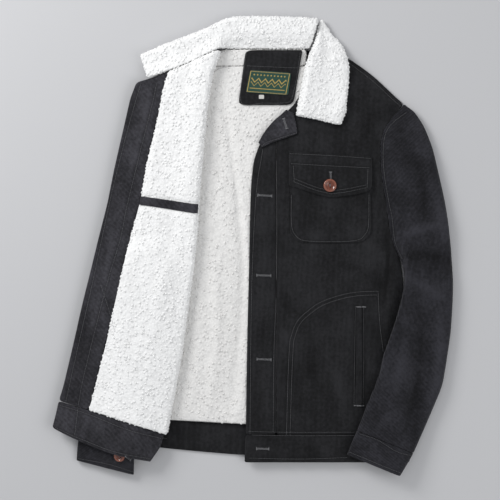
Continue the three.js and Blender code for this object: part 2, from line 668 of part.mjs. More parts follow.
// Middle surface of the turned-back front's shell. Row r runs from neck to hem; c runs along the
// cloth: -1 at the side seam, 0 at the fold, 1 at the front edge.
function upperLevel(x, y, fromFold, fromEdge) {
  const inside = x - bodyLeft(clamp(y, -326, 343));
  const atArm = mix(10.9, 13.4, smooth(-12, 30, inside));
  const button = 3.4 * (1 - smooth(45, 75, fromEdge));
  const hem = 5.6 * smooth(-280, -325, y);
  const overSleeve = highest(hiddenRest, x, y, 8) + HIDDEN_SLEEVE_HEIGHT + button + hem;
  const level = 2.3 + Math.max(atArm, overSleeve);
  return mix(17.4 + 2 * FOLD_TURN, level, smooth(12, 45, fromFold));
}
function shellMiddle(row, c) {
  const side = V(bodyLeft(clamp(row.sideY, -326, 343)), row.sideY, 0);
  const fold = V(row.foldX, row.foldY, 0);
  const edge = V(row.edgeX, row.edgeY, 0);
  const toSide = side.clone().sub(fold);
  const toEdge = edge.clone().sub(fold);
  const reach = BEND_REACH;
  const centre = (direction) => fold.clone().addScaledVector(direction.clone().normalize(), reach);
  if (c <= -0.1) {
    const start = centre(toSide);
    const p = start.lerp(side, (-c - 0.1) / 0.9);
    return p.setZ(underLevel(p.x, p.y, p.clone().setZ(0).distanceTo(fold) - reach));
  }
  if (c >= 0.1) {
    const t = (c - 0.1) / 0.9;
    const p = centre(toEdge).lerp(edge, t);
    p.y -= (row.sag ?? 0) * Math.sin(Math.PI * t);
    const fromEdge = (1 - t) * toEdge.length();
    return p.setZ(upperLevel(p.x, p.y, toEdge.length() - fromEdge, fromEdge));
  }
  const turn = (c / 0.1) * (Math.PI / 2);
  const p = centre(toSide).lerp(centre(toEdge), (c + 0.1) / 0.2);
  const out = toSide.clone().add(toEdge).normalize().multiplyScalar(-FOLD_TURN * Math.cos(turn));
  return p.add(out).setZ(17.4 + FOLD_TURN + FOLD_TURN * Math.sin(turn));
}
function turnedRow(r) {
  const row = rowAt(TURNED, r);
  return { ...row, sag: NECK_SAG * clamp(1 - r) };
}
function turnedPoint(rowOf, r, c, out, rowMax) {
  const dr = 0.02;
  const dc = 0.004;
  const up = shellMiddle(rowOf(Math.max(0, r - dr)), c);
  const down = shellMiddle(rowOf(Math.min(rowMax, r + dr)), c);
  const back = shellMiddle(rowOf(r), Math.max(-1, c - dc));
  const on = shellMiddle(rowOf(r), Math.min(1, c + dc));
  const normal = new THREE.Vector3().crossVectors(down.sub(up), on.sub(back)).normalize().negate();
  return shellMiddle(rowOf(r), c).addScaledVector(normal, out);
}
const turned = (r, c, out) => turnedPoint(turnedRow, r, c, out, 11);
const TURN_COLS = range(TURN_STEPS).map((t) => -0.1 + 0.2 * t);
const UNDER_COLS = [-1, -0.94, -0.88, -0.8, -0.7, -0.55, -0.4, -0.25, -0.17];
// Columns from the bend to the facing's seam run 0.1 to 2, those over the facing 3 to 4.
const WELT_START = 0.02; // the inside pocket's welt runs out over the bend
const PILE_COLS = [0.18, 0.34, 0.5, 0.66, 0.8, 0.9, 0.97, 1].map((t) => 0.1 + 1.9 * t);
const FACING_COLS = [3, 3.3, 3.65, 4];
// Rows near the inside pocket slant down towards the bend, as the pocket does.
const SLANT_ROWS = [[3, 0], [3.5, 0.5], [3.75, 1], [4.15, 1], [4.5, 0.7], [5, 0.25], [5.5, 0]];
const POCKET_SLANT = { seam: 0.08, bend: 0.5 };
function slanted(r, k) {
  const after = SLANT_ROWS.findIndex(([row]) => r < row);
  if (after < 1) return r;
  const [[r0, share0], [r1, share1]] = SLANT_ROWS.slice(after - 1, after + 1);
  const share = mix(share0, share1, (r - r0) / (r1 - r0));
  const across = mix(POCKET_SLANT.bend, POCKET_SLANT.seam, clamp((k - 0.1) / 1.9));
  return r + share * across * smooth(-0.55, -0.1, k);
}
const onTurned = (r, k, out) => {
  const row = slanted(r, k);
  return turned(row, alongCloth(row, k), out);
};
function alongCloth(r, k) {
  if (k <= 0.1) return k;
  if (k >= 3) return mix(facingStart(r) + 0.003, 1, k - 3);
  return mix(0.1, facingStart(r) - 0.003, (k - 0.1) / 1.9);
}
function rightFrontShell() {
  const cols = [...UNDER_COLS, ...TURN_COLS, ...PILE_COLS, ...FACING_COLS.slice(1)];
  const at = (out) => (r, k) => onTurned(r, k, out);
  return slab(TURNED_ROWS, cols, at(1), at(-1));
}
function facingStart(r) {
  const row = turnedRow(r);
  const length = Math.hypot(row.edgeX - row.foldX, row.edgeY - row.foldY);
  return 1 - (0.9 * row.facing) / (length - 9);
}
function rightFrontLining() {
  const pile = (r, k) => {
    const edge = k > 1 ? smooth(2, 1.88, k) : smooth(-0.17, -0.11, k);
    const dip = Math.abs(r - POCKET_ROW) < POCKET_HALF + 0.01 && k > WELT_START - 0.01 ? 2.4 : 0;
    return 1.4 + mix(PILE - 2, PILE, edge) - dip;
  };
  const at = (out) => (r, k) => onTurned(r, k, out(r, k));
  return slab(TURNED_ROWS, [-0.17, ...TURN_COLS, ...PILE_COLS], at(pile), at(() => 1.4));
}
function rightFacing() {
  const at = (out) => (r, k) => onTurned(r, k, out);
  return slab(TURNED_ROWS, FACING_COLS, at(3.1), at(1.4));
}
function insidePocketWelt() {
  const rows = [POCKET_ROW - POCKET_HALF + 0.01, POCKET_ROW, POCKET_ROW + POCKET_HALF - 0.01];
  const cols = [...TURN_COLS.filter((k) => k >= WELT_START), ...PILE_COLS];
  const at = (out) => (r, k) => onTurned(r, k, out);
  return slab(rows, cols, at(PILE + 1.2), at(1.4 + PILE - 2.4 + 0.5));
}
function rightHemBand() {
  const rows = [0, 0.5, 1, 1.5, 2];
  const cols = [...UNDER_COLS, ...TURN_COLS, 0.2, 0.3, 0.4, 0.5, 0.6, 0.7, 0.8, 0.9, 1];
  const at = (out) => (r, c) => turnedPoint((i) => rowAt(TURNED_BAND, i), r, c, out, 2);
  const thick = (c) => mix(1, 2.2, smooth(-0.02, 0.08, c));
  return slab(rows, cols, (r, c) => at(thick(c))(r, c), at(-1));
}

// Collar: a stand that rolls over into a short fall beneath it
const FALL_END = 27; // how near its seam the fall comes back under the stand
function collar() {
  const half = COLLAR_WALL / 2;
  const neckRow = turnedRow(0);
  const bendX = shellMiddle(neckRow, 0.1).x;
  const acrossNeck = (x) => 0.1 + (0.9 * (bendX - x)) / (bendX - neckRow.edgeX);
  const neckY = (x) => shellMiddle(neckRow, clamp(acrossNeck(x), 0.1, 1)).y;
  const middle = (i, c) => {
    const row = rowAt(COLLAR, i);
    const seam = V(row.seamX, row.seamX < -60 ? neckY(row.seamX) + 2.8 : row.seamY, 0);
    const roll = V(row.rollX, row.rollY, 0);
    const along = roll.clone().sub(seam);
    const length = along.length();
    along.normalize();
    const onFront = 1 - smooth(-64, -38, row.seamX);
    const fromFold = Math.hypot(row.seamX - neckRow.foldX, row.seamY - neckRow.foldY);
    const front = upperLevel(row.seamX, row.seamY, fromFold, 160 - fromFold) + 3.4;
    const seamZ = mix(5.4, front, onFront);
    const bendAt = length - half - COLLAR_TURN;
    const standZ = COLLAR_TURN * 2 + half + 0.4;
    if (c <= 0.5) {
      const t = c / 0.5;
      return seam.addScaledVector(along, bendAt * t).setZ(mix(seamZ, standZ, smooth(0, 0.6, t)));
    }
    if (c < 0.7) {
      const turn = ((c - 0.5) / 0.2) * Math.PI;
      return seam
        .addScaledVector(along, bendAt + COLLAR_TURN * Math.sin(turn))
        .setZ(half + 0.4 + COLLAR_TURN * (1 + Math.cos(turn)));
    }
    const t = (c - 0.7) / 0.3;
    return seam.addScaledVector(along, mix(bendAt, FALL_END, t)).setZ(half + 0.4);
  };
  const last = COLLAR.length - 1;
  const at = (out) => (i, c) => {
    const along = middle(Math.min(last, i + 0.02), c).sub(middle(Math.max(0, i - 0.02), c));
    const across = middle(i, Math.min(1, c + 0.004)).sub(middle(i, Math.max(0, c - 0.004)));
    const normal = new THREE.Vector3().crossVectors(along, across).normalize();
    return middle(i, c).addScaledVector(normal, out);
  };
  const cols = [0, 0.1, 0.2, 0.3, 0.4, 0.5, 0.54, 0.58, 0.62, 0.66, 0.7, 0.8, 0.9, 1];
  const rows = range(20).map((t) => t * last);
  return slab(rows, cols, at(half), at(-half));
}
function collarFall() {
  const rows = range(16).map((t) => t * (COLLAR_FALL.length - 1));
  const cols = [0, 0.05, 0.14, 0.28, 0.45, 0.62, 0.78, 0.9, 0.96, 1];
  const base = (x, y) => {
    const out = Math.max(0.6 * (x - bodyRight(Math.min(y, 343))), y - 343);
    return out < 0 ? frontTop(x, Math.min(y, 343)) : 4.8 * (1 - smooth(0, 25, out));
  };
  const at = (top) => (r, u) => {
    const row = rowAt(COLLAR_FALL, r);
    const x = mix(row.leftX, row.rightX, u);
    const y = mix(row.leftY, row.rightY, u);
    const width = row.rightX - row.leftX;
    const toEdge = Math.min(u * width, (1 - u) * width, (8 - r) * 20 + 2, r * 20 + 2);
    const round = Math.sqrt(1 - (1 - clamp(toEdge / 11)) ** 2);
    const low = highest(base, x, y, 7) + 0.7 + 1.5 * (1 - round);
    const hump = 6 * (1 - smooth(0.1, 0.45, u)) * smooth(0, 1.5, r);
    return V(x, y, top ? low + 4 + (6 + hump) * round : low);
  };
  return slab(rows, cols, at(true), at(false));
}

// Pieces on the back of the neck
const PATCH = { left: -13, right: 86, top: 342, bottom: 246, lean: 13, sweep: 15, corner: 11 };
const liningTop = LINING_LOW + BACK_PILE;
function patchPlan(u, v) {
  const left = PATCH.left - PATCH.lean * v;
  const right = PATCH.right - PATCH.sweep * v;
  const x = mix(left, right, u);
  const fromRight = right - x;
  const corner = fromRight < PATCH.corner ? (PATCH.corner - fromRight) ** 2 / (1.6 * PATCH.corner) : 0;
  return { x, y: mix(PATCH.top, PATCH.bottom + corner, v) };
}
function flatPiece(rows, cols, plan, low, high) {
  const at = (z) => (v, u) => {
    const p = plan(u, v);
    return V(p.x, p.y, z);
  };
  return slab(rows, cols, at(high), at(low));
}
const PATCH_LOW = liningTop + 0.9;
const LABEL = { left: -13, right: 61, top: 268, lean: 8, sweep: 5, height: 39, tilt: -5 };
const labelPlan = (u, v) => ({
  x: mix(mix(LABEL.left, LABEL.right, u), mix(LABEL.left + LABEL.lean, LABEL.right + LABEL.sweep, u), v),
  y: mix(LABEL.top + LABEL.tilt * u, LABEL.top + LABEL.tilt * u + LABEL.height, v),
});

function mesh(name, geometry, colour) {
  const material = new THREE.MeshStandardMaterial({
    color: COLOURS[colour],
    roughness: colour === "button" ? 0.35 : 0.95,
    metalness: 0,
  });
  const piece = new THREE.Mesh(geometry, material);
  piece.name = name;
  return piece;
}

const jacket = new THREE.Group();
jacket.add(
  mesh("back_shell", backShell(), "corduroy"),
  mesh("back_lining", backLining(), "sherpa"),
  mesh("neck_facing", neckFacing(), "sherpa"),
  mesh("back_hem_band", backHemBand(), "corduroy"),
  mesh("left_front_shell", leftFrontShell(), "corduroy"),
  mesh("left_front_band", leftFrontBand(), "corduroy"),
  mesh("left_corner", leftCorner(), "facing"),
  mesh("left_hem_band", leftHemBand(), "corduroy"),
  mesh("chest_pocket", chestPocket(), "corduroy"),
  mesh("chest_flap", chestFlap(), "corduroy"),
  mesh("hand_pocket_welt", handPocketWelt(), "corduroy"),
  mesh("left_top_sleeve", sleevePiece(LEFT_SLEEVE, true), "corduroy"),
  mesh("left_under_sleeve", sleevePiece(LEFT_SLEEVE, false), "corduroy"),
  mesh("left_cuff", leftCuff(), "corduroy"),
  mesh("right_front_shell", rightFrontShell(), "corduroy"),
  mesh("right_front_lining", rightFrontLining(), "sherpa"),
  mesh("right_facing", rightFacing(), "facing"),
  mesh("inside_pocket_welt", insidePocketWelt(), "corduroy"),
  mesh("right_hem_band", rightHemBand(), "facing"),
  mesh("right_top_sleeve", sleevePiece(RIGHT_SLEEVE, true), "corduroy"),
  mesh("right_under_sleeve", sleevePiece(RIGHT_SLEEVE, false), "corduroy"),
  mesh("right_cuff", rightCuff(), "corduroy"),
  mesh("collar", collar(), "sherpa"),
  mesh("collar_fall", collarFall(), "sherpa"),
  mesh(
    "hanger_patch",
    flatPiece(range(4), [0, 0.5, 0.85, 0.93, 1], patchPlan, PATCH_LOW, PATCH_LOW + 1.6),
    "corduroy",
  ),
  mesh("woven_label", flatPiece(range(1), range(1), labelPlan, PATCH_LOW + 2, PATCH_LOW + 2.8), "label"),
);

// Size tab, tucked under the label's lower edge
const tab = new THREE.BoxGeometry(9, 7, 0.6);
tab.translate(14.5, 260.2, PATCH_LOW + 2.4);
jacket.add(mesh("size_tab", tab, "tag"));

// Chest button on the flap
const flapSurface = (x, y) => frontTop(x, y) + 3 + 2.6;
const flapNormal = normalOf(flapSurface, 133, 105.5);
const flapPoint = V(133, 105.5, flapSurface(133, 105.5)).addScaledVector(flapNormal, 0.5);
jacket.add(button("chest_button", flapPoint, flapNormal));

// Button of the cuff that shows
const cuffTop = (x, y) => hiddenRest(x, y) + 9;
const cuffNormal = normalOf(cuffTop, -232, -364);
const cuffPoint = V(-232, -364, cuffTop(-232, -364) + 0.3).addScaledVector(cuffNormal, 0.5);
jacket.add(button("right_cuff_button", cuffPoint, cuffNormal, 10));

// Buttons on the outside of the turned-back front, which faces down
[0.75, 2.9, 5.1, 7.4, 9.7].forEach((r, i) => {
  const c = 0.9;
  const point = turned(r, c, -1.5);
  const down = turned(r, c, -2.5).sub(point).normalize();
  const disc = new THREE.CylinderGeometry(9.5, 9.5, BUTTON_T, 18);
  disc.rotateX(Math.PI / 2).translate(0, 0, BUTTON_T / 2);
  const piece = mesh(`right_front_button_${i + 1}`, disc, "button");
  piece.position.copy(point);
  piece.quaternion.setFromUnitVectors(V(0, 0, 1), down);
  jacket.add(piece);
});

// Origin at the middle of the resting footprint
const box = new THREE.Box3().setFromObject(jacket);
jacket.position.set(-(box.min.x + box.max.x) / 2, -(box.min.y + box.max.y) / 2, -box.min.z);

export default jacket;
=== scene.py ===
import bpy, bmesh, math
import numpy as np
from mathutils import Matrix, Vector, kdtree, noise
from mathutils.bvhtree import BVHTree


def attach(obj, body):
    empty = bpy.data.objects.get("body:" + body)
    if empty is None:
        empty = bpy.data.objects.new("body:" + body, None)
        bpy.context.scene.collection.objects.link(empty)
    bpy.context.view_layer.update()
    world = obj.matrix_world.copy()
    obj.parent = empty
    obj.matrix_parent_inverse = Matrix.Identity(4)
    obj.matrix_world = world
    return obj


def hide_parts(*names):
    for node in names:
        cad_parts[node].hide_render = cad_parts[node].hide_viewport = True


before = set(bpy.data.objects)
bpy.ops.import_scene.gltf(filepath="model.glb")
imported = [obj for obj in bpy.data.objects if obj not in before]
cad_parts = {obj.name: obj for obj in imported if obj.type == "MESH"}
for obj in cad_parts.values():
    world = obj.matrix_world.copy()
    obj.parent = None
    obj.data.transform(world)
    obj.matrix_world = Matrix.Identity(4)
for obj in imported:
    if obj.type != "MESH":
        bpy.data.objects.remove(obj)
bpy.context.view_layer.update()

# Back of the shell
# One panel of fine wale cotton corduroy in charcoal, from the neck to the waistband. It is cut with the
# ribs running down, sewn at the shoulders and sides, and lies flat on the floor under everything else.
MM = 0.001
DRAWING_ZERO = Vector((0.2377, -0.7895)) * MM
WALE_PITCH = 2.15 * MM
CHARCOAL = (0.0105, 0.0105, 0.0116)


def at(x, y):
    """A place on the drawing, in millimetres, as metres in the jacket's frame."""
    return Vector((x * MM + DRAWING_ZERO.x, y * MM + DRAWING_ZERO.y))


def link(mesh, name):
    obj = bpy.data.objects.new(name, mesh)
    bpy.context.scene.collection.objects.link(obj)
    return obj


def baked(obj):
    """Turns an object with modifiers into a plain mesh."""
    depsgraph = bpy.context.evaluated_depsgraph_get()
    mesh = bpy.data.meshes.new_from_object(obj.evaluated_get(depsgraph))
    obj.modifiers.clear()
    old, obj.data = obj.data, mesh
    bpy.data.meshes.remove(old)
    return obj


def soft_copy(node, name, flat, smooth):
    """A cut piece from its solid: facets split, then smoothed."""
    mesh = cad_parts[node].data.copy()
    mesh.materials.clear()
    bm = bmesh.new()
    bm.from_mesh(mesh)
    bmesh.ops.remove_doubles(bm, verts=bm.verts, dist=2e-5)
    bmesh.ops.join_triangles(bm, faces=bm.faces, angle_face_threshold=0.9, angle_shape_threshold=1.2)
    bm.to_mesh(mesh)
    bm.free()
    obj = link(mesh, name)
    for kind, levels in (("SIMPLE", flat), ("CATMULL_CLARK", smooth)):
        if levels:
            sub = obj.modifiers.new(kind, "SUBSURF")
            sub.subdivision_type = kind
            sub.levels = sub.render_levels = levels
    baked(obj)
    obj.data.shade_smooth()
    return obj


def points_of(obj):
    co = np.empty(len(obj.data.vertices) * 3)
    obj.data.vertices.foreach_get("co", co)
    return co.reshape(-1, 3)


def set_points(obj, co):
    obj.data.vertices.foreach_set("co", co.ravel())
    obj.data.update()


def normals_of(obj):
    no = np.empty(len(obj.data.vertices) * 3)
    obj.data.vertex_normals.foreach_get("vector", no)
    return no.reshape(-1, 3)


def attribute(obj, name, values):
    data = obj.data.attributes.get(name) or obj.data.attributes.new(name, "FLOAT", "POINT")
    data.data.foreach_set("value", np.asarray(values, np.float32))


class Sock:
    """A socket that makes Math nodes from Python expressions."""

    def __init__(self, tree, link):
        self.tree, self.link = tree, link

    def math(self, kind, *others, clamp=False):
        node = self.tree.nodes.new("ShaderNodeMath")
        node.operation, node.use_clamp = kind, clamp
        for i, value in enumerate((self, *others)):
            if isinstance(value, Sock):
                self.tree.links.new(value.link, node.inputs[i])
            else:
                node.inputs[i].default_value = value
        return Sock(self.tree, node.outputs[0])

    def __add__(self, o): return self.math("ADD", o)
    def __sub__(self, o): return self.math("SUBTRACT", o)
    def __mul__(self, o): return self.math("MULTIPLY", o)
    def __rsub__(self, o): return (self * -1).math("ADD", o)
    def sine(self): return self.math("SINE")
    def abs(self): return self.math("ABSOLUTE")
    def over(self, o): return self.math("GREATER_THAN", o)
    def under(self, o): return self.math("LESS_THAN", o)
    def fract(self): return self.math("FRACT")
    def clamp(self): return self.math("ADD", 0.0, clamp=True)


class Finish:
    """A procedural material, with one method that adds any node."""

    def __init__(self, name, colour, rough, **shader):
        self.mat = bpy.data.materials.new(name)
        self.mat.use_nodes = True
        self.tree = self.mat.node_tree
        self.bsdf = self.tree.nodes["Principled BSDF"]
        self.bsdf.inputs["Base Color"].default_value = (*colour, 1)
        self.bsdf.inputs["Roughness"].default_value = rough
        for key, value in shader.items():
            self.bsdf.inputs[key.replace("_", " ")].default_value = value
        self.mat.diffuse_color = (*colour, 1)

    def node(self, kind, settings=None, out=0, **sockets):
        node = self.tree.nodes.new("ShaderNode" + kind)
        for key, value in (settings or {}).items():
            setattr(node, key, value)
        for key, value in sockets.items():
            socket = node.inputs[int(key[1:])] if key[0] == "_" else node.inputs[key.replace("_", " ")]
            if isinstance(value, Sock):
                self.tree.links.new(value.link, socket)
            else:
                socket.default_value = value
        return Sock(self.tree, node.outputs[out])

    def coords(self):
        return self.node("TexCoord", out=3)

    def value(self, name):
        return self.node("Attribute", {"attribute_name": name}, out=2)

    def blend(self, factor, a, b):
        a, b = (v if isinstance(v, Sock) else (*v, 1) for v in (a, b))
        return self.node("Mix", {"data_type": "RGBA"}, out=2, _0=factor, _6=a, _7=b)

    def colour(self, sock):
        self.tree.links.new(sock.link, self.bsdf.inputs["Base Color"])

    def rough(self, sock):
        self.tree.links.new(sock.link, self.bsdf.inputs["Roughness"])

    def bump(self, height, distance, strength=1.0):
        bump = self.node("Bump", Strength=strength, Distance=distance, Height=height)
        self.tree.links.new(bump.link, self.bsdf.inputs["Normal"])


def corduroy(name, tone):
    """Ribbed pile cloth: round wales rubbed paler along their tops and along fold ridges, with painted shade
    between the wales, in the fold hollows and in the grooves under the stitching.
    """
    f = Finish(name, tone, 0.92, Sheen_Weight=0.10, Sheen_Roughness=0.45, Specular_IOR_Level=0.2)
    place = f.coords()
    drift = f.node("TexNoise", Vector=place, Scale=60.0, Detail=2.0)
    ridge = (f.value("wale") * (2 * math.pi / WALE_PITCH) + (drift - 0.5) * 1.6).sine() * 0.5 + 0.5
    nap = f.node("TexNoise", Vector=place, Scale=1400.0, Detail=2.0)
    cloud = f.node("TexNoise", Vector=place, Scale=16.0, Detail=4.0, Roughness=0.62)
    rub = f.node("TexNoise", Vector=place, Scale=190.0, Detail=3.0, Roughness=0.6)
    # Wale tops and fold ridges come out paler as rubbed wear; wale valleys and fold hollows come out darker
    # as painted shade.
    body = ridge * 0.95 + (rub - 0.5) * 1.3 + (cloud - 0.5) * 1.4 + f.value("fold_wear_and_shade") * 0.5 - 0.06
    dark = tuple(c * 0.25 for c in tone)
    pale = tuple(c * 2.55 for c in tone)
    shade = f.blend(body.clamp(), dark, pale)
    # Painted shade in the grooves under the stitching rows.
    f.colour(f.blend((f.value("sewn") * 0.6).clamp(), shade, tuple(c * 0.55 for c in tone)))
    f.bump(ridge * 0.8 + nap * 0.3 + rub * 0.4, 0.0008, 0.8)
    return f.mat


WALE_LEAN = 0.012


def wale_down(co):
    return co[:, 0] + co[:, 1] * WALE_LEAN


cord = corduroy("charcoal_corduroy", CHARCOAL)
cloth = {}


def cut_piece(node, wale, material, levels=(1, 2)):
    """One cut and sewn piece."""
    obj = soft_copy(node, node + "_cloth", *levels)
    attribute(obj, "wale", wale(points_of(obj)))
    obj.data.materials.append(material)
    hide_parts(node)
    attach(obj, "root")
    cloth[node] = obj
    return obj


cut_piece("back_shell", wale_down, cord, (1, 1))

# Sherpa lining
# Knitted backing with a curly off-white polyester pile, 6 to 8 mm deep. It lines the back and the turned
# back front; the collar and its fall wear the same pile outside.
WHITE = (0.915, 0.912, 0.905)
# The back lining and neck facing wear a darker, warmer copy of the same pile: painted shade on the layer
# under the fronts and the collar.
SHADED_PILE_TONE = (0.83, 0.818, 0.80)


def sherpa(name, tone):
    f = Finish(name, tone, 0.95, Sheen_Weight=0.2, Sheen_Roughness=0.6, Specular_IOR_Level=0.12)
    place = f.coords()
    warp = f.node("TexNoise", out=1, Vector=place, Scale=260.0, Detail=2.0)
    bent = f.node("VectorMath", {"operation": "MULTIPLY_ADD"}, _0=warp, _1=(0.005,) * 3, _2=place)
    curl = f.node("TexVoronoi", {"feature": "SMOOTH_F1"}, Vector=bent, Scale=230.0, Smoothness=0.4)
    fine = f.node("TexNoise", Vector=bent, Scale=900.0, Detail=3.0)
    lumps = f.node("TexNoise", Vector=place, Scale=75.0, Detail=3.0)
    shadow = (curl * 0.95 - fine * 0.3 + (0.5 - lumps) * 0.9 - 0.12).clamp()
    f.colour(f.blend(shadow, tone, tuple(c * 0.80 for c in tone)))
    f.bump((1 - curl) * 0.7 + fine * 0.3 + lumps * 0.9, 0.0026, 0.55)
    return f.mat


white_pile = sherpa("white_sherpa", WHITE)
shaded_pile = sherpa("shaded_sherpa", SHADED_PILE_TONE)
SHERPA_PIECES = [
    # node, pile, flat (m), area (m2), levels, held, rests on
    ("back_lining", shaded_pile, (0.46, 0.64), 0.251, (1, 2), "laid", ["back_shell"]),
    ("neck_facing", shaded_pile, (0.19, 0.03), 0.0055, (1, 1), "laid", ["back_shell"]),
    ("right_front_lining", white_pile, (0.16, 0.60), 0.079, (1, 2), "folded", ["back_lining"]),
    ("collar", white_pile, (0.32, 0.09), 0.0217, (1, 2), "folded", ["back_lining"]),
    ("collar_fall", white_pile, (0.085, 0.185), 0.012, (1, 2), "folded", ["back_lining"]),
]
for node, pile, flat, area, levels, _, _ in SHERPA_PIECES:
    cut_piece(node, wale_down, pile, levels)

# Fronts
# The wearer's left front lies closed over the back with its front band on top; the right one is turned
# back, so that its corduroy facing shows beside the pile. The left top corner rolls open over the neck.
TURNED_LEAN = math.radians(13.2)
FACING_TONE = (0.0255, 0.0248, 0.0290)
facing = corduroy("facing_corduroy", FACING_TONE)


def wale_turned(co):
    return co[:, 0] * math.cos(TURNED_LEAN) - co[:, 1] * math.sin(TURNED_LEAN)


cut_piece("left_front_shell", wale_down, cord)
cut_piece("left_front_band", wale_down, cord)
cut_piece("left_corner", wale_turned, facing)
cut_piece("right_front_shell", wale_turned, cord)
cut_piece("right_facing", wale_turned, facing)

# Pockets
# A patch pocket with a pointed flap on the chest, a welted hand pocket low at the side, and one welted
# inside pocket in the pile. All are corduroy; those outside are topstitched to the front.
cut_piece("chest_pocket", wale_down, cord)
cut_piece("chest_flap", wale_down, cord)
cut_piece("hand_pocket_welt", wale_down, cord)
cut_piece("inside_pocket_welt", wale_turned, facing)

# Sleeves and cuffs
# Two-piece sleeves, each a top and an under layer with the arm's hollow between, gathered into a plain
# band cuff. The right sleeve lies hidden under the turned back front and only its cuff shows.
SLEEVE_ARC = at(-437, -62)
HIDDEN_ARC = at(420, 20)
SLEEVE_TONE = (0.0165, 0.0163, 0.0198)
sleeve_cord = corduroy("sleeve_corduroy", SLEEVE_TONE)


def wale_sleeve(co):
    return np.hypot(co[:, 0] - SLEEVE_ARC.x, co[:, 1] - SLEEVE_ARC.y)


def wale_hidden(co):
    return np.hypot(co[:, 0] - HIDDEN_ARC.x, co[:, 1] - HIDDEN_ARC.y)


SLEEVE_PIECES = [
    # node, wale, flat (m), area (m2), levels, rests on
    ("left_under_sleeve", wale_sleeve, (0.17, 0.50), 0.0573, (1, 1), []),
    ("left_top_sleeve", wale_sleeve, (0.17, 0.50), 0.0573, (1, 2), ["left_under_sleeve"]),
    ("left_cuff", wale_sleeve, (0.214, 0.045), None, (1, 1), []),
    ("right_under_sleeve", wale_hidden, (0.14, 0.35), 0.0262, (1, 1), []),
    ("right_top_sleeve", wale_hidden, (0.14, 0.35), 0.0262, (1, 1), ["right_under_sleeve"]),
    ("right_cuff", wale_hidden, (0.21, 0.06), None, (1, 1), []),
]
for node, wale, flat, area, levels, rests_on in SLEEVE_PIECES:
    cut_piece(node, wale, sleeve_cord, levels)

# Waistband
# A double band of corduroy all round the hem, in three visible lengths: inside the back, on the closed
# front, and inside out on the turned back one.
cut_piece("back_hem_band", wale_down, cord, (1, 1))
cut_piece("left_hem_band", wale_down, cord)
cut_piece("right_hem_band", wale_turned, facing)

# Lie of the cloth
# Soft folds and rumples from wearing and folding, placed one by one: ridges fan out from the armpit and
# run down the sleeve, and shallow dips cross the fronts and the pile.
FOLDS = [
    # from, to (mm), half width (mm), height (mm)
    ((229.2, 42), (225.8, -103.2), 5, -2.2),
    ((250.2, 14), (320.2, 35), 8, 2.2),
    ((255.5, -17.5), (334.2, -21), 8, -1.8),
    ((253.8, -52.5), (327.2, -87.5), 9, 2.0),
    ((306.2, 115.5), (337.8, -7), 10, 1.8),
    ((278.2, 168), (299.2, 54.2), 10, -1.4),
    ((327.2, -129.5), (306.2, -287), 10, 1.9),
    ((264.2, -112), (239.8, -269.5), 9, 1.7),
    ((292.2, -147), (264.2, -313.2), 8, -1.6),
    ((215.2, -318.5), (250.2, -276.5), 7, 1.3),
    ((278.2, -350), (285.2, -297.5), 6, -1.2),
    ((127.8, -185.5), (162.8, -318.5), 10, 1.7),
    ((89.2, -147), (105, -318.5), 9, -1.3),
    ((161, 35), (229.2, -28), 9, 1.5),
    ((152.2, -28), (222.2, -66.5), 9, -1.2),
    ((180.2, 294), (141.8, 227.5), 9, 1.2),
    ((211.8, 248.5), (183.8, 175), 8, -1.2),
    ((15.8, 56), (22.8, -28), 7, 1.0),
    ((19.2, -87.5), (12.2, -171.5), 7, -0.8),
    ((15.8, -220.5), (24.5, -322), 6, 0.9),
    ((82.2, -339.5), (120.8, -371), 7, -0.8),
    ((-99.8, 238), (-110.2, 98), 12, 1.5),
    ((-152.2, 238), (-162.8, 98), 10, -1.2),
    ((-131.2, 36.8), (-152.2, -313.2), 13, -1.5),
    ((-180.2, -7), (-229.2, -287), 12, 1.5),
    ((-99.8, 10.5), (-117.2, -304.5), 9, 1.2),
    ((-49, 238), (-42, -295.8), 7, -3.0),
    ((-28, 133), (-24.5, -287), 6, 2.2),
    ((-71.8, -7), (-82.2, -295.8), 8, 2.0),
    ((-180.2, 269.5), (-218.8, 115.5), 8, 1.0),
    ((-246.8, 45.5), (-281.8, -147), 8, 1.2),
    ((-295.8, -147), (-316.8, -269.5), 7, -1.0),
    ((-285.2, -283.5), (-299.2, -336), 6, 0.8),
    ((-22.8, 371), (-12.2, 339.5), 8, -1.0),
    ((-127.8, 350), (-106.8, 315), 8, -1.2),
    ((117.2, 322), (110.2, 234.5), 9, 1.2),
]
FOLD_BOW = 0.05
RUMPLES = [
    # scale (1/m), height (mm), seed
    (22, 1.1, 3.1),
    (62, 0.5, 7.7),
]
LIE_FROM, LIE_FADE = 0.003, 0.006
# Fold height (mm) at which the fold mark is full: rubbed wear on the ridges, painted shade in the hollows.
FOLD_WEAR_AND_SHADE_RISE = 2.2
HIDDEN_SLEEVE = ("right_under_sleeve", "right_top_sleeve", "right_cuff")


def lie(co):
    """How far the cloth is raised over a place by its folds, in metres."""
    rise = np.zeros(len(co))
    for (x0, y0), (x1, y1), half, height in FOLDS:
        a, b = np.array(at(x0, y0)), np.array(at(x1, y1))
        run = b - a
        t = np.clip(((co[:, :2] - a) @ run) / (run @ run), 0, 1)
        bow = FOLD_BOW * np.sin(t * 3.1)[:, None] * np.array([-run[1], run[0]])
        off = co[:, :2] - (a + t[:, None] * run + bow)
        swell = 0.45 + 0.55 * np.sin(np.pi * t)
        rise += height * MM * np.exp(-(off ** 2).sum(1) / (half * MM) ** 2) * swell
    for scale, height, seed in RUMPLES:
        waves = [noise.noise((x * scale * 1.5, y * scale * 0.7, seed)) for x, y, _ in co]
        rise += height * MM * np.array(waves)
    return rise


